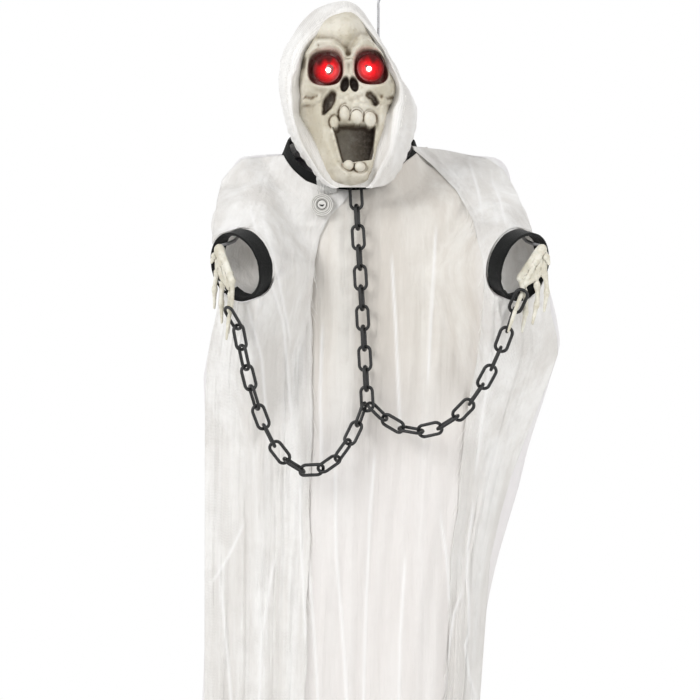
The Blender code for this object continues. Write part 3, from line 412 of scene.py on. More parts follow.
def blur(field, across, down, closed=False):
    # a few passes of a three-point average, each pass widening it
    out = np.array(field, float)
    for count, axis in ((down, 0), (across, 1)):
        for _ in range(int(count)):
            before, after = np.roll(out, 1, axis), np.roll(out, -1, axis)
            if not (closed and axis == 1):
                edge = [slice(None)] * out.ndim
                for side, source in ((0, before), (-1, after)):
                    edge[axis] = side
                    source[tuple(edge)] = out[tuple(edge)]
            out = out * 0.5 + (before + after) * 0.25
    return out


def smoothStep(value, low, high):
    share = np.clip((value - low) / (high - low), 0, 1)
    return share * share * (3 - 2 * share)


def valueNoise(x, y, seed, octaves=3):
    # smooth random field over two coordinates, about -1 to 1
    total, size = 0.0, 1.0
    for octave in range(octaves):
        table = np.random.default_rng(seed + octave * 17).uniform(-1, 1, (64, 64))
        fx, fy = np.asarray(x, float) * 2 ** octave, np.asarray(y, float) * 2 ** octave
        ix, iy = np.floor(fx).astype(int), np.floor(fy).astype(int)
        tx, ty = fx - ix, fy - iy
        tx, ty = tx * tx * (3 - 2 * tx), ty * ty * (3 - 2 * ty)
        a, b = table[ix % 64, iy % 64], table[(ix + 1) % 64, iy % 64]
        c, d = table[ix % 64, (iy + 1) % 64], table[(ix + 1) % 64, (iy + 1) % 64]
        total = total + size * ((a * (1 - tx) + b * tx) * (1 - ty) + (c * (1 - tx) + d * tx) * ty)
        size *= 0.5
    return total / 1.75


def lengthAlong(points):
    return np.concatenate([[0], np.cumsum(np.linalg.norm(np.diff(points, axis=0), axis=1))])


def splineRings(rings, counts):
    # smooth rows through rings of equal point counts, counts[k] rows between ring k and the next
    rings = [np.asarray(r, float) for r in rings]
    ends = [2 * rings[0] - rings[1]] + rings + [2 * rings[-1] - rings[-2]]
    rows = []
    for k, count in enumerate(counts):
        a, b, c, d = ends[k:k + 4]
        gap = [max(1e-6, np.linalg.norm(q - p, axis=1).mean()) for p, q in ((a, b), (b, c), (c, d))]
        slopeB = ((c - b) / gap[1] * gap[0] + (b - a) / gap[0] * gap[1]) / (gap[0] + gap[1]) * gap[1]
        slopeC = ((d - c) / gap[2] * gap[1] + (c - b) / gap[1] * gap[2]) / (gap[1] + gap[2]) * gap[1]
        for step in range(count):
            t = step / count
            rows.append((2 * t ** 3 - 3 * t ** 2 + 1) * b + (t ** 3 - 2 * t ** 2 + t) * slopeB
                        + (3 * t ** 2 - 2 * t ** 3) * c + (t ** 3 - t ** 2) * slopeC)
    rows.append(rings[-1])
    return np.array(rows)


def smoothPath(points, count):
    route = np.array([tuple(p) for p in points], float)
    rows = splineRings([p[None] for p in route], [24] * (len(route) - 1))[:, 0]
    along = lengthAlong(rows)
    wanted = np.linspace(0, along[-1], count)
    return np.stack([np.interp(wanted, along, rows[:, axis]) for axis in range(3)], axis=1)


def unitOf(vectors):
    return vectors / np.linalg.norm(vectors, axis=-1, keepdims=True)


def tubePoints(path, radii, sides):
    # rings round a path, with a frame carried along it
    path = np.asarray(path, float)
    tangents = unitOf(np.gradient(path, axis=0))
    normal = unitOf(np.cross(tangents[0], (0.3, 0.1, 1.0)))
    rings = []
    for place, tangent, radius in zip(path, tangents, radii):
        normal = unitOf(normal - tangent * np.dot(normal, tangent))
        other = np.cross(tangent, normal)
        turns = np.linspace(0, 2 * math.pi, sides, endpoint=False)
        rings.append([place + radius * (math.cos(a) * normal + math.sin(a) * other) for a in turns])
    return np.array(rings)


def ringFaces(rows, columns):
    # quads between closed rings of equal point counts
    faces = []
    for start in range(0, (rows - 1) * columns, columns):
        for k in range(columns):
            nxt = (k + 1) % columns
            faces.append((start + k, start + nxt, start + columns + nxt, start + columns + k))
    return faces


def closedTube(path, radii, sides):
    rings = tubePoints(path, radii, sides)
    rows, columns = rings.shape[:2]
    faces = ringFaces(rows, columns)
    faces.append(tuple(range(columns))[::-1])
    faces.append(tuple((rows - 1) * columns + k for k in range(columns)))
    return rings.reshape(-1, 3), faces


def joinParts(parts):
    points, faces, start = [], [], 0
    for partPoints, partFaces in parts:
        points.append(np.asarray(partPoints, float))
        faces += [tuple(start + i for i in face) for face in partFaces]
        start += len(partPoints)
    return np.concatenate(points), faces


def lathe(outline, sides, place, facing):
    # turns an outline of (radius, height) round the facing axis
    turn = Vector(facing).to_track_quat("Z", "Y").to_matrix()
    points = []
    for radius, height in outline:
        for k in range(sides):
            a = 2 * math.pi * k / sides
            points.append(Vector(place) + turn @ Vector((radius * math.cos(a), radius * math.sin(a), height)))
    return [tuple(p) for p in points], ringFaces(len(outline), sides)


def cellMiddles(grid):
    # the middle of each cell of a closed grid
    beside = np.roll(grid, -1, 1)
    return (grid[:-1] + grid[1:] + beside[:-1] + beside[1:]) / 4


def fromMiddle(grid):
    # unit directions out of the middle of each row
    return unitOf(grid - grid.mean(axis=1, keepdims=True))


def healNormals(piece):
    with editMesh(piece) as bm:
        bmesh.ops.remove_doubles(bm, verts=bm.verts, dist=1e-6)
        bmesh.ops.recalc_face_normals(bm, faces=bm.faces)


def writeAttribute(piece, name, values):
    layer = piece.data.attributes.new(name, "FLOAT", "POINT")
    layer.data.foreach_set("value", np.asarray(values, np.float32))


# chain: one link made in geometry nodes and set on a point for each link
chainLook = {"Length": 0.0317, "Width": 0.0175, "Wire": 0.0038, "Sides": 12, "Bend": 9, "Seed": 4}


def newTree(name, settings):
    # one named input for each setting, whole numbers as integers
    tree = bpy.data.node_groups.new(name, "GeometryNodeTree")
    tree.interface.new_socket("Geometry", in_out="INPUT", socket_type="NodeSocketGeometry")
    tree.interface.new_socket("Geometry", in_out="OUTPUT", socket_type="NodeSocketGeometry")
    for label, value in settings.items():
        kind = "NodeSocketInt" if isinstance(value, int) else "NodeSocketFloat"
        tree.interface.new_socket(label, in_out="INPUT", socket_type=kind)
    start = tree.nodes.new("NodeGroupInput")
    end = tree.nodes.new("NodeGroupOutput")
    return tree, start, end


def placeOnPoints(tree, start, end, instance, material=None):
    turn = addNode(tree, "GeometryNodeInputNamedAttribute", {"data_type": "FLOAT_VECTOR"}, Name="turn").outputs[0]
    turn = addNode(tree, "FunctionNodeEulerToRotation", None, Euler=turn).outputs[0]
    size = addNode(tree, "GeometryNodeInputNamedAttribute", {"data_type": "FLOAT"}, Name="size").outputs[0]
    placed = addNode(tree, "GeometryNodeInstanceOnPoints", None, Points=start.outputs["Geometry"],
                     Instance=instance, Rotation=turn, Scale=size).outputs[0]
    real = addNode(tree, "GeometryNodeRealizeInstances", None, Geometry=placed).outputs[0]
    done = addNode(tree, "GeometryNodeSetMaterial", None, Geometry=real, Material=material).outputs[0]
    tree.links.new(done, end.inputs[0])


def driftNode(tree, start, scale, most, **values):
    # a random step of about that length, from the tree's seed
    step = addNode(tree, "ShaderNodeTexNoise", {"noise_dimensions": "4D"}, Scale=scale, W=start.outputs["Seed"],
                   **values).outputs[1]
    step = addNode(tree, "ShaderNodeVectorMath", {"operation": "SUBTRACT"}, n0=step, n1=(0.5, 0.5, 0.5)).outputs[0]
    return addNode(tree, "ShaderNodeVectorMath", {"operation": "SCALE"}, n0=step, Scale=most).outputs[0]


def linkTree():
    tree, start, end = newTree("chain link", chainLook)
    long = mathNode(tree, "SUBTRACT", start.outputs["Length"], start.outputs["Wire"])
    wide = mathNode(tree, "SUBTRACT", start.outputs["Width"], start.outputs["Wire"])
    frameCurve = addNode(tree, "GeometryNodeCurvePrimitiveQuadrilateral", None, Width=long, Height=wide).outputs[0]
    bow = product(tree, wide, 0.46)
    rounded = addNode(tree, "GeometryNodeFilletCurve", {"mode": "POLY"}, Curve=frameCurve, Radius=bow,
                      Count=start.outputs["Bend"], Limit_Radius=True).outputs[0]
    half = product(tree, start.outputs["Wire"], 0.5)
    ring = addNode(tree, "GeometryNodeCurvePrimitiveCircle", {"mode": "RADIUS"}, Resolution=start.outputs["Sides"],
                   Radius=half).outputs[0]
    body = addNode(tree, "GeometryNodeCurveToMesh", None, Curve=rounded, n1=ring).outputs[0]
    place = addNode(tree, "GeometryNodeInputPosition").outputs[0]
    wobble = driftNode(tree, start, 180.0, 0.0004, Vector=place)
    moulded = addNode(tree, "GeometryNodeSetPosition", None, Geometry=body, Offset=wobble).outputs[0]
    smooth = addNode(tree, "GeometryNodeSetShadeSmooth", None, Geometry=moulded).outputs[0]
    placeOnPoints(tree, start, end, smooth, chainPlastic)
    return tree


# threads: stitches and loose fibres, each a short bent strand set on its own point
threadLook = {"stitch": {"Length": 0.0034, "Thick": 0.00042, "Wander": 0.0006, "Sides": 6, "Seed": 3},
              "fringe": {"Length": 0.0110, "Thick": 0.00022, "Wander": 0.0050, "Sides": 5, "Seed": 5}}


def threadTree():
    tree, start, end = newTree("thread", threadLook["stitch"])
    down = product(tree, start.outputs["Length"], -1.0)
    foot = addNode(tree, "ShaderNodeCombineXYZ", None, Z=down).outputs[0]
    line = addNode(tree, "GeometryNodeCurvePrimitiveLine", None, End=foot).outputs[0]
    line = addNode(tree, "GeometryNodeResampleCurve", None, Curve=line, Count=7).outputs[0]
    along = addNode(tree, "GeometryNodeSplineParameter").outputs[0]
    most = product(tree, start.outputs["Wander"], along)
    bend = driftNode(tree, start, 140.0, most, Detail=1.0)
    line = addNode(tree, "GeometryNodeSetPosition", None, Geometry=line, Offset=bend).outputs[0]
    ring = addNode(tree, "GeometryNodeCurvePrimitiveCircle", {"mode": "RADIUS"}, Resolution=start.outputs["Sides"],
                   Radius=start.outputs["Thick"]).outputs[0]
    strand = addNode(tree, "GeometryNodeCurveToMesh", None, Curve=line, n1=ring, Fill_Caps=True).outputs[0]
    smooth = addNode(tree, "GeometryNodeSetShadeSmooth", None, Geometry=strand).outputs[0]
    placeOnPoints(tree, start, end, smooth, sewingThread)
    return tree


def sewThreads(name, kind, places, directions, node, seed):
    rng = np.random.default_rng(seed)
    turns = [tuple(Vector(d).to_track_quat("-Z", "Y").to_euler()) for d in directions]
    values = dict(threadLook[kind], Seed=seed)
    piece = scatterPiece(name, threadTree(), values, places, turns, rng.uniform(0.6, 1.5, len(places)))
    if node == "hood":
        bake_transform(piece)
    else:
        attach(piece, "body")
    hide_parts(node)


def edgeThreads(name, edge, lean, count, seed):
    # loose fibres out of a cut edge, falling a little to one side
    rng = np.random.default_rng(seed)
    places, directions = [], []
    for _ in range(count):
        k = rng.uniform(0, len(edge) - 1.001)
        at = edge[int(k)] * (1 - k % 1) + edge[int(k) + 1] * (k % 1)
        places.append(at + np.array([0, -0.0004, 0]))
        directions.append((lean * rng.uniform(-0.15, 0.4), rng.uniform(-0.12, 0.02), -rng.uniform(0.4, 1.0)))
    sewThreads(name, "fringe", places, directions, "robe", seed)


def scatterPiece(name, tree, values, places, turns, sizes):
    mesh = bpy.data.meshes.new(name)
    mesh.from_pydata([tuple(map(float, p)) for p in places], [], [])
    for label, kind, data in (("turn", "FLOAT_VECTOR", turns), ("size", "FLOAT", sizes)):
        layer = mesh.attributes.new(label, kind, "POINT")
        layer.data.foreach_set("vector" if kind == "FLOAT_VECTOR" else "value", np.asarray(data, np.float32).ravel())
    piece = addObject(name, mesh)
    nodesModifier = piece.modifiers.new("placed", "NODES")
    nodesModifier.node_group = tree
    for item in tree.interface.items_tree:
        if item.in_out == "INPUT" and item.name in values:
            nodesModifier[item.identifier] = values[item.name]
    applyModifiers(piece)
    for label in ("turn", "size"):
        if label in piece.data.attributes:
            piece.data.attributes.remove(piece.data.attributes[label])
    return piece


def linkFrame(name):
    # a link's middle, and the turn that lays its length along X and its width along Y
    points = np.array([v.co for v in cadNodes[name].data.vertices])
    centre = points.mean(axis=0)
    axes = np.linalg.svd(points - centre, full_matrices=False)[2]
    for _ in range(2):
        local = (points - centre) @ axes.T
        centre = centre + (local.max(axis=0) + local.min(axis=0)) / 2 @ axes
    if np.linalg.det(axes) < 0:
        axes[2] = -axes[2]
    return centre, Matrix(axes.tolist()).transposed().to_euler()


def buildChains():
    tree = linkTree()
    groups = [("dropChain", "body", ["chain_drop_%02d" % k for k in range(1, 12)]),
              ("leftSwag", "left_swag", ["chain_left_%02d" % k for k in range(1, 14)]),
              ("leftHeldLink", "left_hand", ["chain_left_14"]),
              ("rightSwag", "right_swag", ["chain_right_%02d" % k for k in range(1, 12)]),
              ("rightHeldLink", "right_hand", ["chain_right_12"])]
    for name, body, links in groups:
        frames = [linkFrame(link) for link in links]
        piece = scatterPiece(name, tree, chainLook, [f[0] for f in frames], [tuple(f[1]) for f in frames],
                             [1.0] * len(frames))
        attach(piece, body)
        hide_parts(*links)
    print("chains built")


# wire parts keep their CAD shapes, but the hook gets a rounder wire
hookLook = {"wire": 0.0030, "eye": 0.0120, "neck": 0.0080, "sides": 16, "eyeStart": -50, "eyeTurn": 315}


def buildHook():
    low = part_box("hanging_hook")[0]
    radius = hookLook["eye"] / 2 + hookLook["wire"] / 2
    eyeZ = -hookLook["eye"] / 2
    top = eyeZ - radius - hookLook["neck"]
    points = [(0, 0, low.z), (0, 0, (low.z + top) / 2), (0, 0, top - 0.004), (0, 0, top)]
    for step in range(15):
        turn = math.radians(hookLook["eyeStart"] + hookLook["eyeTurn"] * step / 14)
        points.append((radius * math.cos(turn), 0, eyeZ + radius * math.sin(turn)))
    path = smoothPath(points, 150)
    hook = makePiece("hangingHook", *closedTube(path, [hookLook["wire"] / 2] * len(path), hookLook["sides"]), steel)
    healNormals(hook)
    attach(hook, "body")
    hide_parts("hanging_hook")
    for name in ("shoulder_frame", "neck_post", "arm_rod_left", "arm_rod_right"):
        node = cadNodes[name]
        for slot in node.material_slots:
            slot.material = steel
    for slot in cadNodes["pod_cells"].material_slots:
        slot.material = cellMetal


# skull: a front shell sculpted as a height field, in millimetres from the head's axis and the chin
skullSize = {"side": -0.035, "forward": 0.078, "chin": -0.252, "height": 212.0, "halfWidth": 57.0, "halfDepth": 68.0,
             "seam": -0.084, "rows": 300, "columns": 290}
skullShares = [(0.00, 0.00, 0.62, -0.62), (0.02, 0.22, 0.80, -0.42), (0.07, 0.36, 0.88, -0.34),
               (0.14, 0.46, 0.88, -0.26), (0.22, 0.56, 0.86, -0.15), (0.32, 0.72, 0.88, 0.10),
               (0.42, 0.90, 0.93, 0.55), (0.50, 1.02, 0.96, 0.80), (0.58, 1.04, 0.93, 0.92),
               (0.66, 0.99, 0.94, 1.00), (0.74, 0.96, 0.96, 1.00), (0.84, 0.86, 0.88, 0.92),
               (0.93, 0.64, 0.66, 0.70), (0.98, 0.36, 0.36, 0.38), (1.00, 0.00, 0.00, 0.00)]
eyeLook = {"centres": ((-25.2, 133.0), (24.2, 134.4)), "socket": (19.9, 20.2), "shift": (1.3, 1.0), "depth": 13.0,
           "lens": 16.4, "turn": 14.0, "recess": 5.0, "lampBack": 0.0085}
lensOutline = [(1.0, -0.0030), (1.0, -0.0008), (0.975, 0.0), (0.90, -0.0012), (0.84, -0.0030), (0.78, -0.0034),
               (0.70, -0.0046), (0.62, -0.0048), (0.54, -0.0060), (0.42, -0.0066), (0.30, -0.0072), (0.165, -0.0074),
               (0.165, -0.0088), (0.6, -0.0082), (0.92, -0.0052)]  # share of the radius, height in metres
lampOutline = [(0.0, -0.0015), (0.0024, -0.0015), (0.0025, 0.0030), (0.0023, 0.0046), (0.0016, 0.0058),
               (0.0008, 0.0063), (0.0, 0.0064)]
mouthCorners = [(-19.5, 71.0), (28.5, 69.5), (24.5, 31.5), (-8.5, 26.5)]
upperTeeth = [(-17.2, 72.5, 4.6, 6.6, 4.5), (-6.0, 81.5, 6.0, 9.0, 7.5), (7.5, 78.0, 7.4, 8.4, 6.5),
              (22.6, 75.6, 7.0, 9.0, 6.5)]
lowerTeeth = [(-2.2, 23.5, 6.0, 6.2, 8.0), (10.6, 21.5, 6.0, 6.2, 8.0)]

# ridges (lift, line, width) and mounds (lift, middle, half sizes); the paired ones stand on both sides
pairedForms = [(7.4, [(3, 142), (8, 151), (19, 161), (36, 163), (48, 152)], 5.4), (-3.5, (49, 166), (11, 18)),
               (7.5, (44, 110), (12, 9)), (3.4, [(18, 108), (34, 111), (50, 118), (54, 132)], 5.0),
               (-2.6, [(49, 102.5), (43, 100.5), (37, 101.5)], 2.6), (2.2, [(49, 97), (40, 95), (33, 97)], 2.6)]
browForms = [(5.6, (-1, 183), (18, 17)),
             (-2.8, [(-2, 143), (-1.5, 150), (-0.9, 156), (3.4, 164), (12, 170), (22, 174), (32, 175)], 5.2),
             (-2.6, [(-2, 149), (-4.6, 156), (-11, 163.5), (-21, 168), (-34, 169)], 5.2),
             (3.4, [(5, 152), (11, 161), (22, 167.5), (36, 168)], 4.6),
             (3.2, [(-7, 152), (-12, 158), (-22, 162.5), (-36, 163)], 4.6),
             (3.6, [(0, 140), (0, 122)], 5.5), (4.2, (0, 112), (15, 15)), (-4.0, [(-9, 142), (5, 142)], 2.0),
             (5.5, (3, 84), (27, 15))]
lipBumps = ((-9, 103, 3.6, 2.0), (-3, 98, 3.2, 2.2), (4, 101, 3.4, 2.2), (10, 105, 3.6, 1.8), (15, 97, 3.4, 2.4),
            (8, 93, 3.4, 2.4), (-1, 91, 3.6, 2.2), (-10, 94, 3.4, 2.2), (19, 90, 3.6, 2.2), (25, 88, 3.8, 2.2),
            (-15, 88, 3.4, 2.0), (-20, 84, 3.2, 1.8), (14, 90, 3.0, 1.6), (30, 84, 3.4, 1.6))
jawForms = [(4.6, [(-36, 100), (-29, 74), (-23.5, 50), (-16, 26), (-4, 11)], 4.6),
            (-3.4, [(-45, 92), (-38, 66), (-31, 42), (-24, 18), (-12, 2)], 5.0),
            (5.4, [(40, 100), (36.5, 74), (33, 52), (29.5, 28), (18, 11)], 4.6),
            (-3.4, [(49, 92), (45, 68), (41, 44), (36, 20), (25, 2)], 5.0)]
chinForms = [(4.0, (6.5, 9), (19, 9)), (2.0, [(-8, 17), (4, 13), (18, 16)], 3.4)]


def profileAt(table, share):
    rows = np.array(table)
    heights, values = rows[:, 0], rows[:, 1:]
    slopes = np.gradient(values, heights, axis=0)
    slopes[0] = slopes[-1] = 0
    share = np.asarray(share, float)
    k = np.clip(np.searchsorted(heights, share) - 1, 0, len(rows) - 2)
    step = (heights[k + 1] - heights[k])[..., None]
    t = np.clip((share - heights[k])[..., None] / step, 0, 1)
    keep = 1 - t * t * (3 - 2 * t)
    return (values[k] * keep + values[k + 1] * (1 - keep) + slopes[k] * t * (1 - t) ** 2 * step
            - slopes[k + 1] * t * t * (1 - t) * step)


def blob(x, h, cx, ch, rx, rh, tilt=0.0):
    c, s = math.cos(math.radians(tilt)), math.sin(math.radians(tilt))
    dx, dh = (x - cx), (h - ch)
    return np.sqrt(((dx * c + dh * s) / rx) ** 2 + ((-dx * s + dh * c) / rh) ** 2)


def squareBlob(x, h, cx, ch, rx, rh):
    return ((np.abs(x - cx) / rx) ** 2.7 + (np.abs(h - ch) / rh) ** 2.7) ** (1 / 2.7)


def mound(x, h, cx, ch, rx, rh, tilt=0.0):
    return np.exp(-blob(x, h, cx, ch, rx, rh, tilt) ** 2)


def ridge(x, h, points, width):
    # soft ridge along a bent line
    best = np.full(np.shape(x), 1e9)
    for (ax, ah), (bx, bh) in zip(points, points[1:]):
        lx, lh = bx - ax, bh - ah
        t = np.clip(((x - ax) * lx + (h - ah) * lh) / (lx * lx + lh * lh), 0, 1)
        best = np.minimum(best, np.hypot(x - ax - t * lx, h - ah - t * lh))
    return np.exp(-(best / width) ** 2)


def insidePolygon(x, h, corners, rounding):
    # 1 inside the polygon, falling to 0 over the rounding
    away = np.full(np.shape(x), -1e9)
    for (ax, ah), (bx, bh) in zip(corners, corners[1:] + corners[:1]):
        length = math.hypot(bx - ax, bh - ah)
        away = np.logaddexp(away / 1.6, ((x - ax) * (ah - bh) + (h - ah) * (bx - ax)) / length / 1.6) * 1.6
    return smoothStep(-away, -rounding, rounding)


def raiseForms(out, x, h, forms, side=1):
    # a line makes a ridge, one place a mound
    for lift, place, size in forms:
        if isinstance(place, list):
            out += lift * ridge(x, h, [(side * px, ph) for px, ph in place], size)
        else:
            out += lift * mound(x, h, side * place[0], place[1], *size)


def faceRelief(x, h):
    # how far the face stands out, and the masks where it is painted: a red glow with shade in the sockets, shade in its
    # holes and hollows, and shade in the mouth
    out = np.zeros(np.shape(x))
    for side in (-1, 1):
        raiseForms(out, x, h, pairedForms, side)
    raiseForms(out, x, h, browForms)
    raiseForms(out, x, h, [(lift, (cx, ch), (size, size)) for cx, ch, size, lift in lipBumps])
    raiseForms(out, x, h, jawForms)
    for k in range(5):  # beads of gum down both sides of the mouth
        out += 1.6 * mound(x, h, -17.5 + k * 1.9, 62 - k * 7.5, 2.6, 2.8)
        out += 0.9 * mound(x, h, 29.5 - k * 0.8, 60 - k * 7.0, 2.4, 3.0)
    raiseForms(out, x, h, chinForms)

    # the socket mask, also painted dark red: a painted red glow from the lenses and painted shade on the socket walls
    socket = np.zeros(np.shape(x))
    for side, (cx, ch) in zip((-1, 1), eyeLook["centres"]):
        away = squareBlob(x, h, cx + side * eyeLook["shift"][0], ch + eyeLook["shift"][1], *eyeLook["socket"])
        out += 2.4 * np.exp(-((away - 1.13) / 0.12) ** 2)
        socket = np.maximum(socket, smoothStep(away, 1.06, 0.90))
    out = out * (1 - socket) - eyeLook["depth"] * socket
    out *= 1.0 + 0.4 * (1 - socket)

    hole = np.zeros(np.shape(x))
    for side in (-1, 1):  # nostrils
        away = blob(x, h, side * 5.2, 114.6, 5.0, 8.6, side * 13)
        hole = np.maximum(hole, smoothStep(away, 1.15, 0.75))
    out = out * (1 - hole) - 13.0 * hole
    ragged = 1 + 0.16 * valueNoise(x / 4, h / 4, 15, 2)  # torn rims of the cheek hollows
    left = (ridge(x, h, [(-19.5, 103), (-23, 97)], 6.6) + ridge(x, h, [(-22, 97), (-24.5, 91)], 5.6)
            + 0.9 * mound(x, h, -26.5, 85, 4.2, 8.5, -20)) * ragged
    right = ridge(x, h, [(22, 103), (26, 100), (29, 95)], 5.6) * ragged
    out -= 10.0 * smoothStep(left, 0.45, 1.25) + 8.0 * smoothStep(right, 0.35, 0.95)
    # the mask of the painted shade in the cheek hollows and nostrils
    hollow = smoothStep(left, 0.35, 1.25) * np.interp(h, [78, 94], [0.6, 1.0])
    hollow = np.maximum(hollow, smoothStep(right, 0.3, 0.95) * np.interp(x, [19, 27], [0.4, 1.0]))
    out -= 4.0 * mound(x, h, -12.4, 80, 2.2, 6.5)

    pocket = insidePolygon(x, h, mouthCorners, 1.3)
    teeth = np.zeros(np.shape(x))
    domes = np.zeros(np.shape(x))
    for cx, ch, rx, rh, lift in upperTeeth + lowerTeeth:
        away = blob(x, h, cx, ch, rx, rh)
        domes = np.maximum(domes, lift * np.sqrt(np.clip(1 - np.minimum(away, 1) ** 2.6, 0, 1)))
        teeth = np.maximum(teeth, smoothStep(away, 1.03, 0.93))
        out -= 1.7 * np.exp(-((away - 1.18) / 0.20) ** 2) * (1 - pocket)
    out = out * (1 - pocket) - 40.0 * pocket
    out = out * (1 - teeth) + (2.0 + domes) * teeth
    # painted shade inside the mouth, lighter to the left and at the bottom
    shaded = pocket * np.interp(x, [-18, -2, 14, 26], [0.35, 0.6, 0.9, 1.0]) * np.interp(h, [26, 44], [0.8, 1.0])
    return out, socket, np.maximum(hole, hollow * 0.9) * (1 - teeth), shaded * (1 - teeth)


def skullGrid(columns, rows, low, high, crowd):
    share = np.linspace(0, 1, rows)
    height = skullSize["height"] * (share - 0.16 * np.sin(2 * math.pi * share) / (2 * math.pi))
    t = np.linspace(-1, 1, columns)
    turn = low + (high - low) * ((1 - crowd) * t + crowd * t ** 3 + 1) / 2
    turn, height = np.meshgrid(turn, height)
    shares = profileAt(skullShares, height / skullSize["height"])
    width, front, back = shares[..., 0], shares[..., 1], shares[..., 2]
    across, ahead = np.sin(turn), np.cos(turn)
    stretch = (np.abs(across) ** 2.3 + np.abs(ahead) ** 2.3) ** (-1 / 2.3)
    across, ahead = across * stretch, ahead * stretch
    x = across * width * skullSize["halfWidth"] * np.where(across < 0, 1.06, 0.99)
    forward = ((front - back) / 2 + ahead * (front + back) / 2) * skullSize["halfDepth"]
    return x, forward, height, ahead


def skullPoints(x, forward, height):
    # narrower at the right of the crown, wider at the left of the jaw
    lean = np.interp(height, [0, 60, 130, 212], [1.5, 1.5, 0.0, 0.0])
    width = profileAt(skullShares, height / skullSize["height"])[..., 0] * skullSize["halfWidth"]
    share = np.clip(np.abs(x) / np.maximum(width, 1e-6), 0, 1.1)
    keep = np.interp(height, [118, 128, 145, 163, 187, 208, 212], [1, 0.95, 0.80, 0.66, 0.52, 0.46, 0.46])
    power = np.interp(height, [145, 168], [3.0, 0.0])
    right = 1 - (1 - keep) * share ** power
    left = 1 + np.interp(height, [0, 25, 80, 105], [0.22, 0.26, 0.24, 0.0]) * share ** 2
    jaw = 1 + np.interp(height, [0, 20, 45], [0.12, 0.10, 0.0]) * share ** 2
    x = x * np.where(x > 0, right * jaw, left)
    return np.stack([skullSize["side"] + (x + lean) / 1000, -skullSize["forward"] - forward / 1000,
                     skullSize["chin"] + height / 1000], axis=-1)


def faceForward(x, h):
    width, front, back = profileAt(skullShares, np.array(h / skullSize["height"]))
    across = min(0.95, abs(x) / (width * skullSize["halfWidth"]))
    ahead = (1 - across ** 2.3) ** (1 / 2.3)
    return ((front - back) / 2 + ahead * (front + back) / 2) * skullSize["halfDepth"]


def cutAway(bm, place, normal):
    return bmesh.ops.bisect_plane(bm, geom=bm.verts[:] + bm.edges[:] + bm.faces[:], plane_co=place, plane_no=normal,
                                  clear_outer=True, dist=1e-7)


def cutAndCap(piece, place, normal):
    with editMesh(piece) as bm:
        bmesh.ops.remove_doubles(bm, verts=bm.verts, dist=1e-6)
        cut = cutAway(bm, place, normal)
        edges = [e for e in cut["geom_cut"] if isinstance(e, bmesh.types.BMEdge) and e.is_boundary]
        bmesh.ops.holes_fill(bm, edges=edges, sides=0)
        bmesh.ops.triangulate(bm, faces=[f for f in bm.faces if len(f.verts) > 4])
        bmesh.ops.recalc_face_normals(bm, faces=bm.faces)


def buildSkull():
    x, forward, height, ahead = skullGrid(skullSize["columns"], skullSize["rows"], -2.3, 2.3, 0.25)
    relief, socket, holeShade, pocket = faceRelief(x, height)
    mask = smoothStep(ahead, 0.02, 0.42)
    grain = 0.35 * valueNoise(x / 9, height / 9, 11) + 0.18 * valueNoise(x / 3, height / 3, 12)
    wrinkles = 0.6 * valueNoise(x / 5, height / 16, 13, 2) * smoothStep(height, 150, 190)
    forward = forward + relief * mask + (grain + wrinkles) * mask
    points = skullPoints(x, forward, height)
    face = gridPiece("skullFace", points, skullBone)
    hollowness = np.clip((blur(relief, 9, 9) - relief) / 2.6, 0, 1)
    fineHollow = np.clip((blur(relief, 3, 3) - relief) / 0.7, 0, 1)
    # painted shade: darker brown in the face's hollows, towards the chin and where its sides turn away from the front
    paintedShade = np.clip(1.0 * hollowness + 0.75 * fineHollow, 0, 1)
    low = np.clip(1 - height / 30, 0, 1) * 0.25
    paintedShade = np.clip(paintedShade * smoothStep(ahead, 0.25, 0.6) + low + 0.1 * (1 - smoothStep(ahead, 0.1, 0.6)), 0, 1)
    # painted shade in the hollows, holes and mouth, and the sockets' painted red glow with shade
    for name, values in (("paintedShade", paintedShade * (1 - socket)), ("holeShade", holeShade), ("mouth", pocket), ("socket", socket)):
        writeAttribute(face, name, values.ravel())
    cutAndCap(face, (0, skullSize["seam"], 0), (0, 1, 0))
    healNormals(face)
    x, forward, height, ahead = skullGrid(140, 130, 0.6, 2 * math.pi - 0.6, 0.0)
    points = skullPoints(x, forward + 0.3 * valueNoise(x / 12, height / 12, 21), height)
    back = gridPiece("skullBack", points, skullBone)
    # painted shade over the back of the head, patchy
    writeAttribute(back, "paintedShade", (0.25 + 0.2 * valueNoise(x / 14, height / 14, 22)).ravel())
    cutAndCap(back, (0, skullSize["seam"] + 0.0003, 0), (0, -1, 0))
    healNormals(back)
    for piece, node in ((face, "skull_face"), (back, "skull_back")):
        piece.data.shade_smooth()
        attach(piece, "head")
        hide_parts(node)
    print("skull built, %d faces" % len(face.data.polygons))


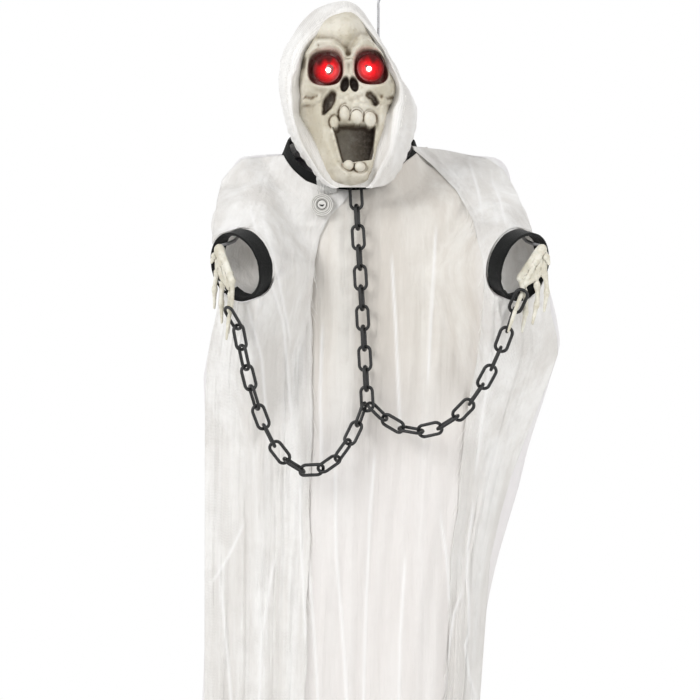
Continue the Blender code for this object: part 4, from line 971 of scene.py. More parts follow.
def buildEyes():
    for side, word, (cx, ch) in ((-1, "left", eyeLook["centres"][0]), (1, "right", eyeLook["centres"][1])):
        turn = math.radians(eyeLook["turn"])  # each lens looks a little outwards
        facing = Vector((side * math.sin(turn), -math.cos(turn), 0))
        front = faceForward(cx, ch) - eyeLook["recess"]
        place = Vector((skullSize["side"] + cx / 1000, -skullSize["forward"] - front / 1000,
                        skullSize["chin"] + ch / 1000))
        wide = eyeLook["lens"] / 1000
        outline = [(wide * share, height) for share, height in lensOutline + lensOutline[:1]]
        points, faces = lathe(outline, 72, place, facing)
        lens = makePiece("eyeLens" + word.title(), points, faces, lensMaterial(word))
        offsets = [(Vector(p) - place) / wide for p in points]
        beside = Vector((facing.y, -facing.x, 0))
        writeAttribute(lens, "reach", [math.hypot(o.dot(beside), o.z) for o in offsets])
        # the painted shade under the brow, darkest at the top
        writeAttribute(lens, "browShade", [smoothStep(o.z + 0.25 * side * o.x + 0.15 * math.sin(9 * o.x), 0.30, 0.85)
                                      for o in offsets])
        healNormals(lens)
        back = place - facing * eyeLook["lampBack"]
        lamp = makePiece("eyeLamp" + word.title(), *lathe(lampOutline, 28, back, facing), lampLight)
        healNormals(lamp)
        for piece, node, slot in ((lens, "eye_lens_", "red_lens"), (lamp, "eye_lamp_", "led")):
            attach(piece, "head")
            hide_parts(node + word)
    print("eyes built")


# hood: arches from the rolled front hem round the back of the head, in millimetres about its centre
hoodLook = {"centre": (-35.0, -150.0), "around": 180, "wall": 0.0006, "wrinkle": 1.7,
            "turnsWithHead": (-0.035, -0.10, -0.14), "staysWithBody": (-0.035, 0.02, -0.24),
            "rim": [(-35, -51), (-47, -58), (-60, -73), (-80, -87), (-88, -99), (-92, -115), (-99, -130), (-99, -152),
                    (-93, -185), (-80, -216), (-69, -235), (-58, -249), (-40, -256), (-22, -257), (-8, -248),
                    (-3, -232), (5, -216), (11, -186), (14, -164), (21, -152), (22, -135), (13, -117), (5, -99),
                    (-12, -76), (-26, -58)],
            "side": [(-37, -35), (-75, -46), (-101, -77), (-109, -94), (-114, -121), (-112.5, -150), (-108, -171),
                     (-99, -192), (-83, -217), (-68, -238), (-58, -252), (-40, -262), (-20, -264), (-2, -256),
                     (15, -238), (26, -219), (35.5, -200), (40, -182), (41, -161), (33, -139), (23.5, -126),
                     (13, -107), (2.5, -89), (-10, -65), (-22, -44)],
            # share of the way from rim to side, scale, depth, and pull towards the facing, from the hem back
            "stations": [(0.00, 1.00, -0.03, 1.0), (0.00, 1.00, 0.24, 0.86), (0.02, 1.00, 0.64, 0.45),
                         (0.00, 1.00, 126.0, 0.08), (0.10, 1.00, 131.5, 0), (0.30, 1.00, 131.0, 0),
                         (0.45, 1.00, 125.0, 0), (0.72, 1.00, 117.0, 0), (0.95, 1.00, 103.0, 0),
                         (1.00, 1.00, 84.0, 0), (1.00, 0.985, 58.0, 0), (1.00, 0.93, 32.0, 0),
                         (1.00, 0.82, 8.0, 0), (1.00, 0.62, -10.0, 0), (1.00, 0.36, -19.0, 0),
                         (1.00, 0.003, -22.5, 0)],
            "rowsBetween": [4, 4, 4, 3, 4, 4, 6, 7, 7, 8, 8, 7, 6, 5, 4], "seamRow": 21, "length": 0.44,
            "hemFront": (0, -0.120, -0.2515), "hemBack": (0, 0.02, -0.2215)}


def evenOut(values, passes):
    # a three-point average round a closed ring
    for _ in range(passes):
        values = values * 0.5 + (np.roll(values, 1) + np.roll(values, -1)) * 0.25
    return values


def loopRadius(points, turns):
    cx, cz = hoodLook["centre"]
    angles = np.array([math.atan2(x - cx, z - cz) for x, z in points])
    radii = np.array([math.hypot(x - cx, z - cz) for x, z in points])
    order = np.argsort(angles)
    angles, radii = angles[order], radii[order]
    angles = np.concatenate([angles - 2 * math.pi, angles, angles + 2 * math.pi])
    return evenOut(np.interp(turns, angles, np.tile(radii, 3)), 6)


def skullRadius(turns):
    # the head's outline round the hood's centre, from the skull's own rings
    heights = np.linspace(2, 210, 60)
    edges = []
    for sign in (-1, 1):
        outline = sign * np.array([profileAt(skullShares, h / skullSize["height"])[..., 0] for h in heights])
        x = outline * skullSize["halfWidth"] * (1.06 if sign < 0 else 0.99)
        points = skullPoints(x, np.zeros(len(heights)), heights)
        edges += [(p[0] * 1000, p[2] * 1000) for p in points]
    return loopRadius(edges, turns)


def skullDepth(turns, radius):
    # how far forward the head's surface lies at that distance from the hood's centre, in millimetres
    mesh = bpy.data.objects["skullFace"].data
    tree = BVHTree.FromPolygons([v.co[:] for v in mesh.vertices], [tuple(p.vertices) for p in mesh.polygons])
    cx, cz = hoodLook["centre"]
    depths = []
    for turn, wide in zip(turns, radius):
        hit, step = None, 0.0
        while hit is None and step < 16:
            place = Vector(((cx + (wide - step) * math.sin(turn)) / 1000, -0.4,
                            (cz + (wide - step) * math.cos(turn)) / 1000))
            hit = tree.ray_cast(place, Vector((0, 1, 0)))[0]
            step += 1.0
        depths.append(-hit.y * 1000 if hit is not None else 90.0)
    return np.clip(evenOut(np.array(depths), 4), 60, 123)


def buildHood():
    count = hoodLook["around"]
    turns = np.linspace(-math.pi, math.pi, count, endpoint=False)
    rim, side = loopRadius(hoodLook["rim"], turns), loopRadius(hoodLook["side"], turns)
    top = np.exp(-(turns / 0.8) ** 2)
    facing = np.minimum(np.maximum(rim - 21, skullRadius(turns) - 5.5), rim - 1.5)
    touch = skullDepth(turns, facing)
    rings = []
    cx, cz = hoodLook["centre"]
    for share, scale, depth, pull in hoodLook["stations"]:
        radius = (rim * (1 - share) + side * share) * scale
        radius = radius * (1 - pull) + facing * pull
        if depth < 1 and pull > 0.2:  # a share of the way from the skull to the hem, not millimetres
            depth = touch + depth * (126 - 8.4 * top - touch)
        else:
            depth = depth - top * np.interp(depth, [60, 131], [0, 9])
        rings.append(np.stack([(cx + radius * np.sin(turns)) / 1000, -depth / 1000,
                               (cz + radius * np.cos(turns)) / 1000], axis=1))
    grid = splineRings(rings, hoodLook["rowsBetween"])
    rows = len(grid)
    outward = grid - np.array([cx / 1000, -0.075, cz / 1000])
    outward[..., 1] *= 0.4
    outward = unitOf(outward)
    u, v = np.meshgrid(np.arange(count), np.arange(rows))
    wave = valueNoise(u / 9.0, v / 26.0, 31, 3) + 0.5 * valueNoise(u / 4.0, v / 30.0, 33, 2)
    lower = smoothStep(np.abs(turns)[None, :] * np.ones((rows, 1)), 1.2, 2.3)
    gather = np.sin(u * 2 * math.pi / count * 46 + 2.0 * valueNoise(u / 12.0, v / 9.0, 35)) * lower
    free = smoothStep(v, 13, 26) * smoothStep(rows - v, 1, 10)
    inner = smoothStep(v, 6, 13)
    crumple = np.exp(-((turns[None, :] + 1.1) / 0.35) ** 2) * valueNoise(u / 3.0, v / 4.0, 37, 3) * inner
    hem = np.exp(-((v - 12.5) / 1.3) ** 2) * (0.5 + 0.5 * valueNoise(u / 3.0, v * 0.0, 39, 2))
    lift = (hoodLook["wrinkle"] * wave * (0.5 + 0.5 * free) * inner + 0.8 * gather * free + 1.2 * free
            + 2.0 * crumple + 1.4 * hem) / 1000
    grid = grid + outward * lift[..., None]
    hood = gridPiece("gauzeHood", grid, gauze, closed=True, flip=True)
    low, back = Vector(hoodLook["hemFront"]), Vector(hoodLook["hemBack"])
    normal = (back - low).cross(Vector((1, 0, 0))).normalized()
    normal = -normal if normal.z > 0 else normal
    with editMesh(hood) as bm:
        cutAway(bm, low, normal)
    seam, off = grid[hoodLook["seamRow"]], outward[hoodLook["seamRow"]]
    along = np.roll(seam, -1, axis=0) - seam
    places, directions = [], []
    for k in range(0, count, 2):
        if seam[k, 2] > -0.235:  # the seam ends above the lower hem
            places.append(seam[k] + off[k] * 0.0007)
            directions.append(along[k] + off[k] * 0.0003)
    sewThreads("hoodStitches", "stitch", places, directions, "hood", 11)
    asSheet(hood, hoodLook["wall"])
    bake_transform(hood)
    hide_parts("hood")
    print("hood built")


# robe, from the same rings as its CAD solid, with folds of its own
robeShape = {"length": 1.2, "shoulder": 0.2076, "half": 0.190, "front": 0.085, "back": 0.060, "neckSide": -0.033,
             "neckHalf": (0.0745, 0.0560), "neckDrop": 0.197, "neckDip": 0.053, "neckRise": 0.020,
             "neckForward": 0.075, "flare": 0.009, "collar": 0.018, "columns": 264, "wall": 0.0006, "folds": 58,
             "seed": 7, "fall": 0.99, "floor": -1.1995,
             "narrowerLeft": [(-0.47, 0), (-0.42, 0.010), (-0.38, 0.020), (-0.34, 0.022), (-0.30, 0.016),
                              (-0.26, 0.008), (-0.22, 0)],
             "narrower": [(-0.60, 0), (-0.52, 0.004), (-0.47, 0.006), (-0.43, 0.004), (-0.41, 0.008), (-0.366, 0.014),
                          (-0.33, 0.018), (-0.29, 0.026), (-0.27, 0.027), (-0.235, 0.010), (-0.21, 0)],
             "shares": [(0.000, 0.87, 0.74, 0.96, 0.90, 1.35, 0.0), (0.060, 1.03, 0.97, 0.98, 0.92, 0.60, 0.3),
                        (0.190, 1.09, 1.15, 1.00, 0.92, 0.00, 0.9), (0.370, 1.08, 0.88, 1.02, 0.95, 0.00, 1.0),
                        (0.520, 1.08, 0.66, 1.04, 0.97, 0.00, 1.0), (1.000, 1.10, 0.64, 1.10, 1.00, 0.00, 1.0)]}


def neckRing(spread, drop, columns):
    s = robeShape
    a = np.linspace(0, 2 * math.pi, columns, endpoint=False)
    across, ahead = np.cos(a), np.sin(a)
    x = s["neckSide"] + (s["neckHalf"][0] + spread) * across
    y = s["neckHalf"][1] - s["neckForward"] - (s["neckHalf"][1] + spread) * ahead
    z = -s["neckDrop"] - drop - np.where(ahead > 0, s["neckDip"], s["neckRise"]) * ahead
    return np.stack([x, y, z], axis=1)


def robeRing(row, columns):
    s = robeShape
    down, left, right, front, back, dip, _ = row
    a = np.linspace(0, 2 * math.pi, columns * 4, endpoint=False)
    across, ahead = np.cos(a), np.sin(a)
    x = s["half"] * np.where(across < 0, left, right) * np.copysign(np.abs(across) ** 0.75, across)
    y = np.where(ahead > 0, -s["front"] * front, s["back"] * back) * np.abs(ahead) ** 0.75
    tilt = np.where(ahead > 0, s["neckDip"] * dip, s["neckRise"] * dip * 0.3)
    outline = np.stack([x, y, -s["shoulder"] - down * (s["length"] - s["shoulder"]) - tilt * ahead], axis=1)
    outline = np.concatenate([outline, outline[:1]])
    reach = lengthAlong(outline)
    wanted = np.linspace(0, reach[-1], columns, endpoint=False)
    return np.stack([np.interp(wanted, reach, outline[:, k]) for k in range(3)], axis=1)


def ringNormals(grid):
    across = np.roll(grid, -1, axis=1) - np.roll(grid, 1, axis=1)
    normals = np.cross(across, (0.0, 0.0, 1.0))
    normals /= np.maximum(1e-9, np.linalg.norm(normals, axis=2, keepdims=True))
    middle = grid.mean(axis=1, keepdims=True)
    sign = np.sign(((grid - middle) * normals).sum(axis=2).mean())
    return normals * sign


def foldField(columns, rows, seed, count, growth):
    # standing folds that wander down the cloth, in metres
    rng = np.random.default_rng(seed)
    u = np.arange(columns)[None, :] / columns
    v = np.linspace(0, 1, rows)[:, None]
    field = np.zeros((rows, columns))
    for k in range(count):
        start = (k + rng.uniform(-0.4, 0.4)) / count
        drift = rng.uniform(-0.02, 0.02) * v
        drift = drift + rng.uniform(0.002, 0.006) * np.sin(v * rng.uniform(3, 9) + rng.uniform(0, 6))
        away = np.abs((u - start - drift + 0.5) % 1 - 0.5)
        wide = rng.uniform(0.0030, 0.0090) * (1 + 0.4 * v)
        strength = rng.uniform(0.0025, 0.0085) * smoothStep(v, rng.uniform(0, 0.35), rng.uniform(0.36, 0.7))
        strength = strength * (0.7 + 0.3 * np.sin(v * rng.uniform(4, 12) + rng.uniform(0, 6)))
        field += strength * np.exp(-(away / wide) ** 2)
    wide = 0.0065 * np.sin(u * 2 * math.pi * 7 + 1.5 * np.sin(v * 4)) + 0.004 * np.sin(u * 2 * math.pi * 12 + 2 * v + 1)
    return (field + wide * 0.55 * smoothStep(v, 0.05, 0.5)) * growth


sleeveLook = {"root": {-1: 0.146, 1: 0.136}, "elbow": {-1: 0.151, 1: 0.140}, "wide": {-1: 0.042, 1: 0.036},
              "cuff": (0.163, -0.150, -0.3445), "facing": (0.67, -0.69, -0.27), "mouth": 0.0385, "band": 0.02375,
              "sides": 96, "length": 0.24,
              # the mouth turns in: share of its radius and how deep
              "turnedIn": ((0.955, 0.0006), (0.94, 0.016), (0.90, 0.034), (0.66, 0.048), (0.30, 0.055),
                           (0.02, 0.057))}


def sleeveLine(side):
    s = sleeveLook
    return [(side * s["root"][side], -0.015, -0.276), (side * s["elbow"][side], -0.085, -0.305),
            (side * s["cuff"][0], *s["cuff"][1:])]


def sleeveRings(side, radiusChange, lengthen, sides):
    s = sleeveLook
    facing = Vector((side * s["facing"][0], *s["facing"][1:])).normalized()
    root, elbow, cuff = (Vector(place) for place in sleeveLine(side))
    stations = [(root, elbow - root, s["wide"][side]), (elbow, cuff - root, s["wide"][side]),
                (cuff - facing * s["band"], facing, s["mouth"]), (cuff + facing * lengthen, facing, s["mouth"])]
    rings = []
    for centre, direction, radius in stations:
        turn = direction.to_track_quat("Z", "Y").to_matrix()
        wide = radius + radiusChange
        rings.append(np.array([centre + turn @ Vector((math.cos(a) * wide, math.sin(a) * wide, 0))
                               for a in np.linspace(0, 2 * math.pi, sides, endpoint=False)]))
    return rings, np.array(facing)


def insideSleeve(points, spare):
    inside = np.zeros(points.shape[:-1], bool)
    for side in (-1, 1):
        line = np.array(sleeveLine(side))
        for a, b in zip(line, line[1:]):
            t = np.clip(((points - a) @ (b - a)) / ((b - a) @ (b - a)), 0, 1)
            away = np.linalg.norm(points - a - t[..., None] * (b - a), axis=-1)
            inside |= away < sleeveLook["wide"][side] + spare
    return inside & (points[..., 1] < -0.040)


def drawIn(grid):
    # the cloth falls in below each shoulder
    for side, word in ((-1, "narrowerLeft"), (1, "narrower")):
        narrow = np.interp(grid[..., 2], *zip(*robeShape[word]))
        grid[..., 0] -= side * narrow * smoothStep(side * grid[..., 0], 0.06, 0.19)


def robeGrid():
    s = robeShape
    columns = s["columns"]
    rings = [neckRing(0, 0, columns), neckRing(s["flare"], s["collar"], columns)]
    rings += [robeRing(row, columns) for row in s["shares"]]
    grid = splineRings(rings, [4, 20, 12, 22, 26, 22, 66])
    rows = len(grid)
    amount = np.interp(np.arange(rows), [0, 24, 36, 58, 84, 106, rows - 1], [0, 0, 0.3, 0.8, 1.0, 1.0, 1.0])
    folds = foldField(columns, rows, s["seed"], s["folds"], 1.0) * amount[:, None]
    u, v = np.meshgrid(np.arange(columns), np.arange(rows))
    soft = 0.0011 * valueNoise(u / 6.0, v / 20.0, 41, 3) * smoothStep(v, 6, 30)
    grid = grid + ringNormals(grid) * (folds + soft)[..., None]
    hem = 0.006 * (valueNoise(u[-1] / 5.0, v[-1] * 0.0, 43, 3) + 0.8)
    grid[-1, :, 2] += hem
    grid[..., 2] = np.maximum(grid[..., 2], s["floor"])
    drawIn(grid)
    return grid


def buildRobe():
    s = robeShape
    grid = robeGrid()
    robe = gridPiece("robeBody", grid, robeCloth, closed=True, keep=~insideSleeve(cellMiddles(grid), -0.003))
    healNormalsOut(robe)
    surfaces = [robe]
    for side, word in ((-1, "Left"), (1, "Right")):
        rings, axis = sleeveRings(side, 0.0, 0.0, sleeveLook["sides"])
        end = rings[-1]
        middle = end.mean(axis=0)
        inner = [middle - axis * back + (end - middle) * scale for scale, back in sleeveLook["turnedIn"]]
        sleeve = np.concatenate([splineRings(rings, [26, 22, 10]), splineRings(inner, [8, 8, 8, 7, 5])])
        u, v = np.meshgrid(np.arange(sleeveLook["sides"]), np.arange(len(sleeve)))
        wrinkle = 0.0022 * valueNoise(u / 9.0 + 3, v / 7.0, 51 + side, 3)
        wrinkle = wrinkle + 0.0012 * np.sin(v / 2.2 + 2.5 * np.sin(u / 15.0))
        free = smoothStep(v, 0, 8) * (1 - smoothStep(v, 36, 47))
        creased = smoothStep(v, 62, 72) * (1 - smoothStep(v, 84, 94)) * 0.9
        sleeve = sleeve + fromMiddle(sleeve) * ((wrinkle + 0.0008) * free - np.abs(wrinkle) * creased)[..., None]
        surfaces.append(gridPiece("sleeve" + word, sleeve, gauze, closed=True))
    buildDrapes(surfaces + [bpy.data.objects["feltCollar"]])
    for piece in surfaces:
        asSheet(piece, s["wall"])
        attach(piece, "body")
        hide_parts("robe")
    print("robe built")


def healNormalsOut(piece):
    # an open sheet faces away from its own middle line
    mesh = piece.data
    middle = np.mean([v.co for v in mesh.vertices], axis=0)
    total = sum((Vector(f.center) - Vector(middle)).dot(f.normal) * f.area for f in mesh.polygons)
    if total < 0:
        mesh.flip_normals()


# overlays: sheets laid out as they are seen from the front, then dropped onto the collar, robe and sleeves
viewEye, viewStep = np.array(cameraLook["place"]), 0.0012  # metres to a pixel in the figure's plane
drapeLook = {"rows": 270, "lift": 0.0022, "slope": 0.45, "wall": 0.0005, "foot": 992, "length": 0.97,
             "cuffGap": 0.0413}
drapes = [
    {"name": "chestLayer", "columns": 104, "seed": 81, "crease": 0.0020, "foldWidth": 1.0, "lowLift": 1.0,
     "material": robeCloth, "wanders": "start", "fringe": None,
     "top": [(0, 190), (0.11, 190), (0.23, 189), (0.37, 179), (0.66, 161), (0.93, 148), (1, 147)],
     "start": [(140, 338), (190, 338), (230, 308), (300, 300), (1000, 297)],
     "end": [(140, 420), (190, 470), (260, 498), (400, 486), (560, 468), (1000, 466)]},
    {"name": "gauzeDrapeLeft", "columns": 100, "seed": 71, "crease": 0.0032, "foldWidth": 1.0, "lowLift": 1.0,
     "material": gauze, "wanders": "end", "fringe": (-1, 30, 0.8),
     "top": [(0, 159), (0.35, 155), (0.52, 170), (0.65, 181), (0.80, 188), (1, 190)],
     "start": [(150, 252), (158, 243), (170, 230), (180, 222), (200, 217), (240, 212), (262, 214), (290, 219),
               (305, 218), (320, 215), (337, 211), (360, 207), (400, 205), (1000, 204)],
     "end": [(140, 352), (190, 352), (202, 344), (216, 330), (236, 320), (260, 315), (300, 313), (400, 312),
             (560, 309), (700, 306), (1000, 308)]},
    {"name": "gauzeDrapeRight", "columns": 84, "seed": 73, "crease": 0.0021, "foldWidth": 2.1, "lowLift": 0.4,
     "material": gauze, "wanders": "start", "fringe": (0, 20, -0.8),
     "top": [(0, 146), (0.5, 150), (1, 158)],
     "start": [(140, 410), (150, 414), (165, 432), (190, 456), (220, 473), (260, 482), (300, 484), (400, 470),
               (560, 452), (700, 446), (1000, 450)],
     "end": [(140, 466), (156, 482), (161, 491), (169, 503), (182, 511), (195, 518), (213, 524), (229, 531),
             (245, 541), (262, 547), (313, 551), (336, 557), (354, 558), (380, 549), (400, 541), (440, 525), (480, 510),
             (520, 499), (560, 490), (700, 480), (1000, 480)]}]


# crisp standing edges where the cloth lies double, each as (py, px); they are raised, and a painted highlight runs
# along them
pleats = {"chestLayer": [[(395, 301), (487, 302.5), (618, 313), (700, 318), (760, 320)],
                         [(465, 335), (552, 336.4), (657, 344.3), (760, 350)],
                         [(455, 374.6), (513, 370.4), (591, 366.5), (670, 364), (740, 363)],
                         [(410, 475), (513, 471), (565, 464), (657, 449), (760, 444)],
                         [(520, 441), (560, 447), (640, 452)], [(560, 405), (640, 400), (740, 398)],
                         [(330, 322), (400, 320), (470, 322)], [(230, 436), (300, 432), (380, 428)],
                         [(260, 392), (330, 396), (430, 400)]],
          "gauzeDrapeLeft": [[(205, 250), (255, 262), (320, 283), (420, 292)], [(215, 262), (275, 278), (340, 290)],
                             [(526, 243), (556, 229), (583, 212)], [(470, 300), (540, 301), (640, 306)],
                             [(560, 274), (640, 262), (740, 258)], [(590, 222), (660, 228), (740, 234)],
                             [(230, 232), (290, 243), (360, 262), (440, 268)]],
          "gauzeDrapeRight": [[(165, 470), (190, 478), (215, 482)], [(180, 492), (200, 500), (220, 505)],
                              [(350, 492), (420, 482), (470, 476)],
                              [(507, 473), (547, 468), (578, 466.5), (599, 469), (634, 468.5), (646, 465), (676, 469),
                               (697, 476)],
                              [(592, 462), (613, 454), (641, 449.5), (669, 446.5), (700, 445)]]}
pleatLook = {"width": 1.5, "rise": 0.0017, "fade": 14.0}


def pleatAmount(name, px, py):
    most = np.zeros(np.shape(px))
    for line in pleats[name]:
        low, high = line[0][0], line[-1][0]
        away = px - np.interp(py, *zip(*line))
        along = smoothStep(py, low - pleatLook["fade"], low + pleatLook["fade"])
        along = along * (1 - smoothStep(py, high - pleatLook["fade"], high + pleatLook["fade"]))
        most = np.maximum(most, np.exp(-(away / pleatLook["width"]) ** 2) * along)
    return most


def viewDirection(px, py):
    return np.stack([(px - 350) * viewStep, np.full(np.shape(px), 2.5), (350 - py) * viewStep], axis=-1) / 2.5


def cuffHole(points):
    # how far inside a cuff's outline, seen from the front, each point lies; over 0 is inside
    direction = points - viewEye
    most = np.full(points.shape[:-1], -1.0)
    s = sleeveLook
    for side in (-1, 1):
        facing = unitOf(np.array([side * s["facing"][0], *s["facing"][1:]]))
        for back in (0.0, 0.007, 0.014, 0.0205):  # rings down the felt band
            centre = np.array(sleeveLine(side)[2]) - facing * back
            reach = ((centre - viewEye) @ facing) / (direction @ facing)
            away = np.linalg.norm(viewEye + direction * reach[..., None] - centre, axis=-1)
            most = np.maximum(most, drapeLook["cuffGap"] - away)
    return most


def hardLimits(points):
    # nearest to the viewer that a sheet may come beside each chain link, in y
    limit = np.full(points.shape[:-1], -9.0)
    names = [n for n in cadNodes if n.startswith("chain_")] + ["pod_case"]
    for name in names:
        low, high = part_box(name)
        dx = np.maximum(np.maximum(low.x - points[..., 0], points[..., 0] - high.x), 0)
        dz = np.maximum(np.maximum(low.z - points[..., 2], points[..., 2] - high.z), 0)
        away = np.hypot(dx, dz)
        spare = 0.0004 if name == "pod_case" else 0.0012
        limit = np.maximum(limit, high.y + spare - 0.9 * np.maximum(away - 0.004, 0))
    return limit


def layOnto(tree, px, py):
    # depth of the surface behind each point of the view; gaps keep their neighbours' depth
    rows, columns = px.shape
    direction = viewDirection(px, py)
    depth = np.full((rows, columns), np.nan)
    eye = Vector(viewEye)
    for i in range(rows):
        for k in range(columns):
            hit = tree.ray_cast(eye, Vector(direction[i, k]))[0]
            if hit is not None:
                depth[i, k] = hit.y
    for i in range(rows):
        known = np.flatnonzero(~np.isnan(depth[i]))
        if len(known):
            depth[i] = np.interp(np.arange(columns), known, depth[i, known])
        elif i:
            depth[i] = depth[i - 1]
    return direction, depth


def closeHole(points, inside):
    # draws the cut edge onto the outline, so that it runs smoothly
    rows, columns = inside.shape
    out = points.copy()
    for i, k in zip(*np.nonzero(inside)):
        best = None
        for di, dk in ((-1, 0), (1, 0), (0, -1), (0, 1), (-1, -1), (-1, 1), (1, -1), (1, 1)):
            a, b = i + di, k + dk
            if 0 <= a < rows and 0 <= b < columns and not inside[a, b]:
                low, high = 0.0, 1.0
                for _ in range(7):
                    middle = (low + high) / 2
                    if cuffHole(points[i, k] * (1 - middle) + points[a, b] * middle) > 0:
                        low = middle
                    else:
                        high = middle
                if best is None or high < best[0]:
                    best = (high, points[i, k] * (1 - high) + points[a, b] * high)
        if best is not None:
            out[i, k] = best[1]
    return out


def buildDrapes(surfaces):
    s = drapeLook
    made = []
    for look in drapes:
        bm = bmesh.new()
        for piece in surfaces + made:
            bm.from_mesh(piece.data)
        tree = BVHTree.FromBMesh(bm)
        bm.free()
        rows, columns = s["rows"], look["columns"]
        share = np.linspace(0, 1, columns)[None, :]
        top = np.interp(share, *zip(*look["top"]))
        down = np.linspace(0, 1, rows)[:, None] ** 1.2
        ragged = 5 * valueNoise(np.arange(columns) / 3.0, np.zeros(columns), look["seed"] + 5, 3)[None, :]
        py = top + (s["foot"] - 6 + ragged - top) * down
        wander = 3.5 * valueNoise(py / 60.0, py * 0.0, look["seed"] + 7, 3) * smoothStep(py, 230, 300)
        start = np.interp(py, *zip(*look["start"])) + wander * (look["wanders"] == "start")
        end = np.interp(py, *zip(*look["end"])) + wander * (look["wanders"] == "end")
        px = start + (end - start) * share
        direction, surface = layOnto(tree, px, py)
        width = np.abs(np.diff(px, axis=1)).mean() * viewStep
        loose = surface.copy()
        for i in range(1, rows):
            drop = (py[i] - py[i - 1]) * viewStep
            loose[i] = np.minimum(loose[i], loose[i - 1] + s["slope"] * drop)
        for k in range(1, columns):
            loose[:, k] = np.minimum(loose[:, k], loose[:, k - 1] + 1.2 * width)
        for k in range(columns - 2, -1, -1):
            loose[:, k] = np.minimum(loose[:, k], loose[:, k + 1] + 1.2 * width)
        loose = np.minimum(blur(loose, 3, 4), loose + 0.0008)
        u, v = np.meshgrid(np.arange(columns), np.arange(rows))
        seed = look["seed"]
        across = u / look["foldWidth"]
        wave = valueNoise(across / 4.6, v / 75.0, seed, 3) + 0.45 * valueNoise(across / 2.1, v / 60.0, seed + 2, 2)
        slant = valueNoise(across / 7.0 + v / 16.0, v / 40.0 - across / 90.0, seed + 4, 3)
        slant *= 1 - smoothStep(v, 40, 110)
        fold = look["crease"] * (np.abs(wave) ** 0.8 + 0.35 * wave + 0.7 * np.abs(slant)) * smoothStep(v, 3, 40)
        fold *= smoothStep(u, -1, 3) * smoothStep(columns - 1 - u, -1, 3)
        lift = s["lift"] * (1 - (1 - look["lowLift"]) * smoothStep(py, 440, 540))
        y = loose - lift - fold - pleatLook["rise"] * pleatAmount(look["name"], px, py)
        points = viewEye + direction * (y + 2.5)[..., None]
        limit = hardLimits(points)
        y = np.minimum(np.maximum(y, blur(limit, 2, 2)), surface - 0.0007)
        y = np.where(limit > y, np.minimum(limit, surface - 0.0007), y)
        points = viewEye + direction * (y + 2.5)[..., None]
        points[..., 2] = np.maximum(points[..., 2], robeShape["floor"])
        inside = cuffHole(points) > 0
        keep = ~(inside[:-1, :-1] & inside[1:, :-1] & inside[:-1, 1:] & inside[1:, 1:])
        points = closeHole(points, inside)
        drape = gridPiece(look["name"], points, look["material"], keep=keep, flip=True)
        if np.mean([f.normal.y for f in drape.data.polygons]) > 0:
            drape.data.flip_normals()
        # the mask for the pleats' painted highlight
        places = np.array([v.co for v in drape.data.vertices])
        scale = 2.5 / (places[:, 1] + 2.5) / viewStep
        writeAttribute(drape, "pleatHighlight", pleatAmount(look["name"], 350 + (places[:, 0] - viewEye[0]) * scale,
                                                   350 - (places[:, 2] - viewEye[2]) * scale))
        made.append(drape)
        if look["fringe"]:
            column, first, lean = look["fringe"]
            edgeThreads(look["name"] + "Threads", points[first:, column], lean, 80, seed)
            edgeThreads(look["name"] + "Hem", points[-1], 0.1, 120, seed + 1)
        else:
            edgeThreads(look["name"] + "Threads", points[-1], 0.1, 80, seed)
    for drape in made:
        asSheet(drape, s["wall"])
        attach(drape, "body")
        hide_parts("robe")
    print("drapes built")


# lining: a lighter skirt inside the robe
liningShape = {"columns": 160, "widths": [0.99, 0.80, 0.72, 0.76, 0.80], "inset": 0.0045, "lowInset": 0.004,
               "hemLift": 0.060, "seed": 91, "folds": 26, "depth": 0.5, "wall": 0.0005, "length": 0.87}


def buildLining():
    s = liningShape
    rings = []
    for row, width in zip(robeShape["shares"][1:], s["widths"]):
        ring = robeRing(row, s["columns"])
        inset = s["inset"] + s["lowInset"] * row[6]
        ring[:, 0] *= width - inset / robeShape["half"]
        ring[:, 1] *= (1 - (1 - width) * 0.35) - inset / robeShape["front"]
        rings.append(ring)
    rings[-1][:, 2] += s["hemLift"]
    grid = splineRings(rings, [14, 18, 16, 40])
    folds = foldField(s["columns"], len(grid), s["seed"], s["folds"], s["depth"]) - 0.004
    grid = grid + ringNormals(grid) * np.minimum(folds, 0.0)[..., None]
    drawIn(grid)
    keep = ~insideSleeve(cellMiddles(grid), 0.004)
    lining = gridPiece("liningSkirt", grid, liningCloth, closed=True, keep=keep)
    healNormalsOut(lining)
    asSheet(lining, s["wall"])
    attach(lining, "body")
    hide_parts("lining")
    print("lining built")


# collar and cuffs: cut felt bands
feltLook = {"wall": 0.0020, "edge": 0.0006}
collarLook = {"columns": 220, "above": 0.0095, "over": 0.0005, "under": 0.0032, "seed": 101, "length": 0.029,
              # the sewn loop, as steps back and up from the top link's bow
              "loop": [(0.0065, 0.0105), (0.001, 0.0055), (-0.0036, 0.001), (-0.0012, -0.0034), (0.0030, -0.0022),
                       (0.0068, 0.0020)], "loopWire": 0.0010}


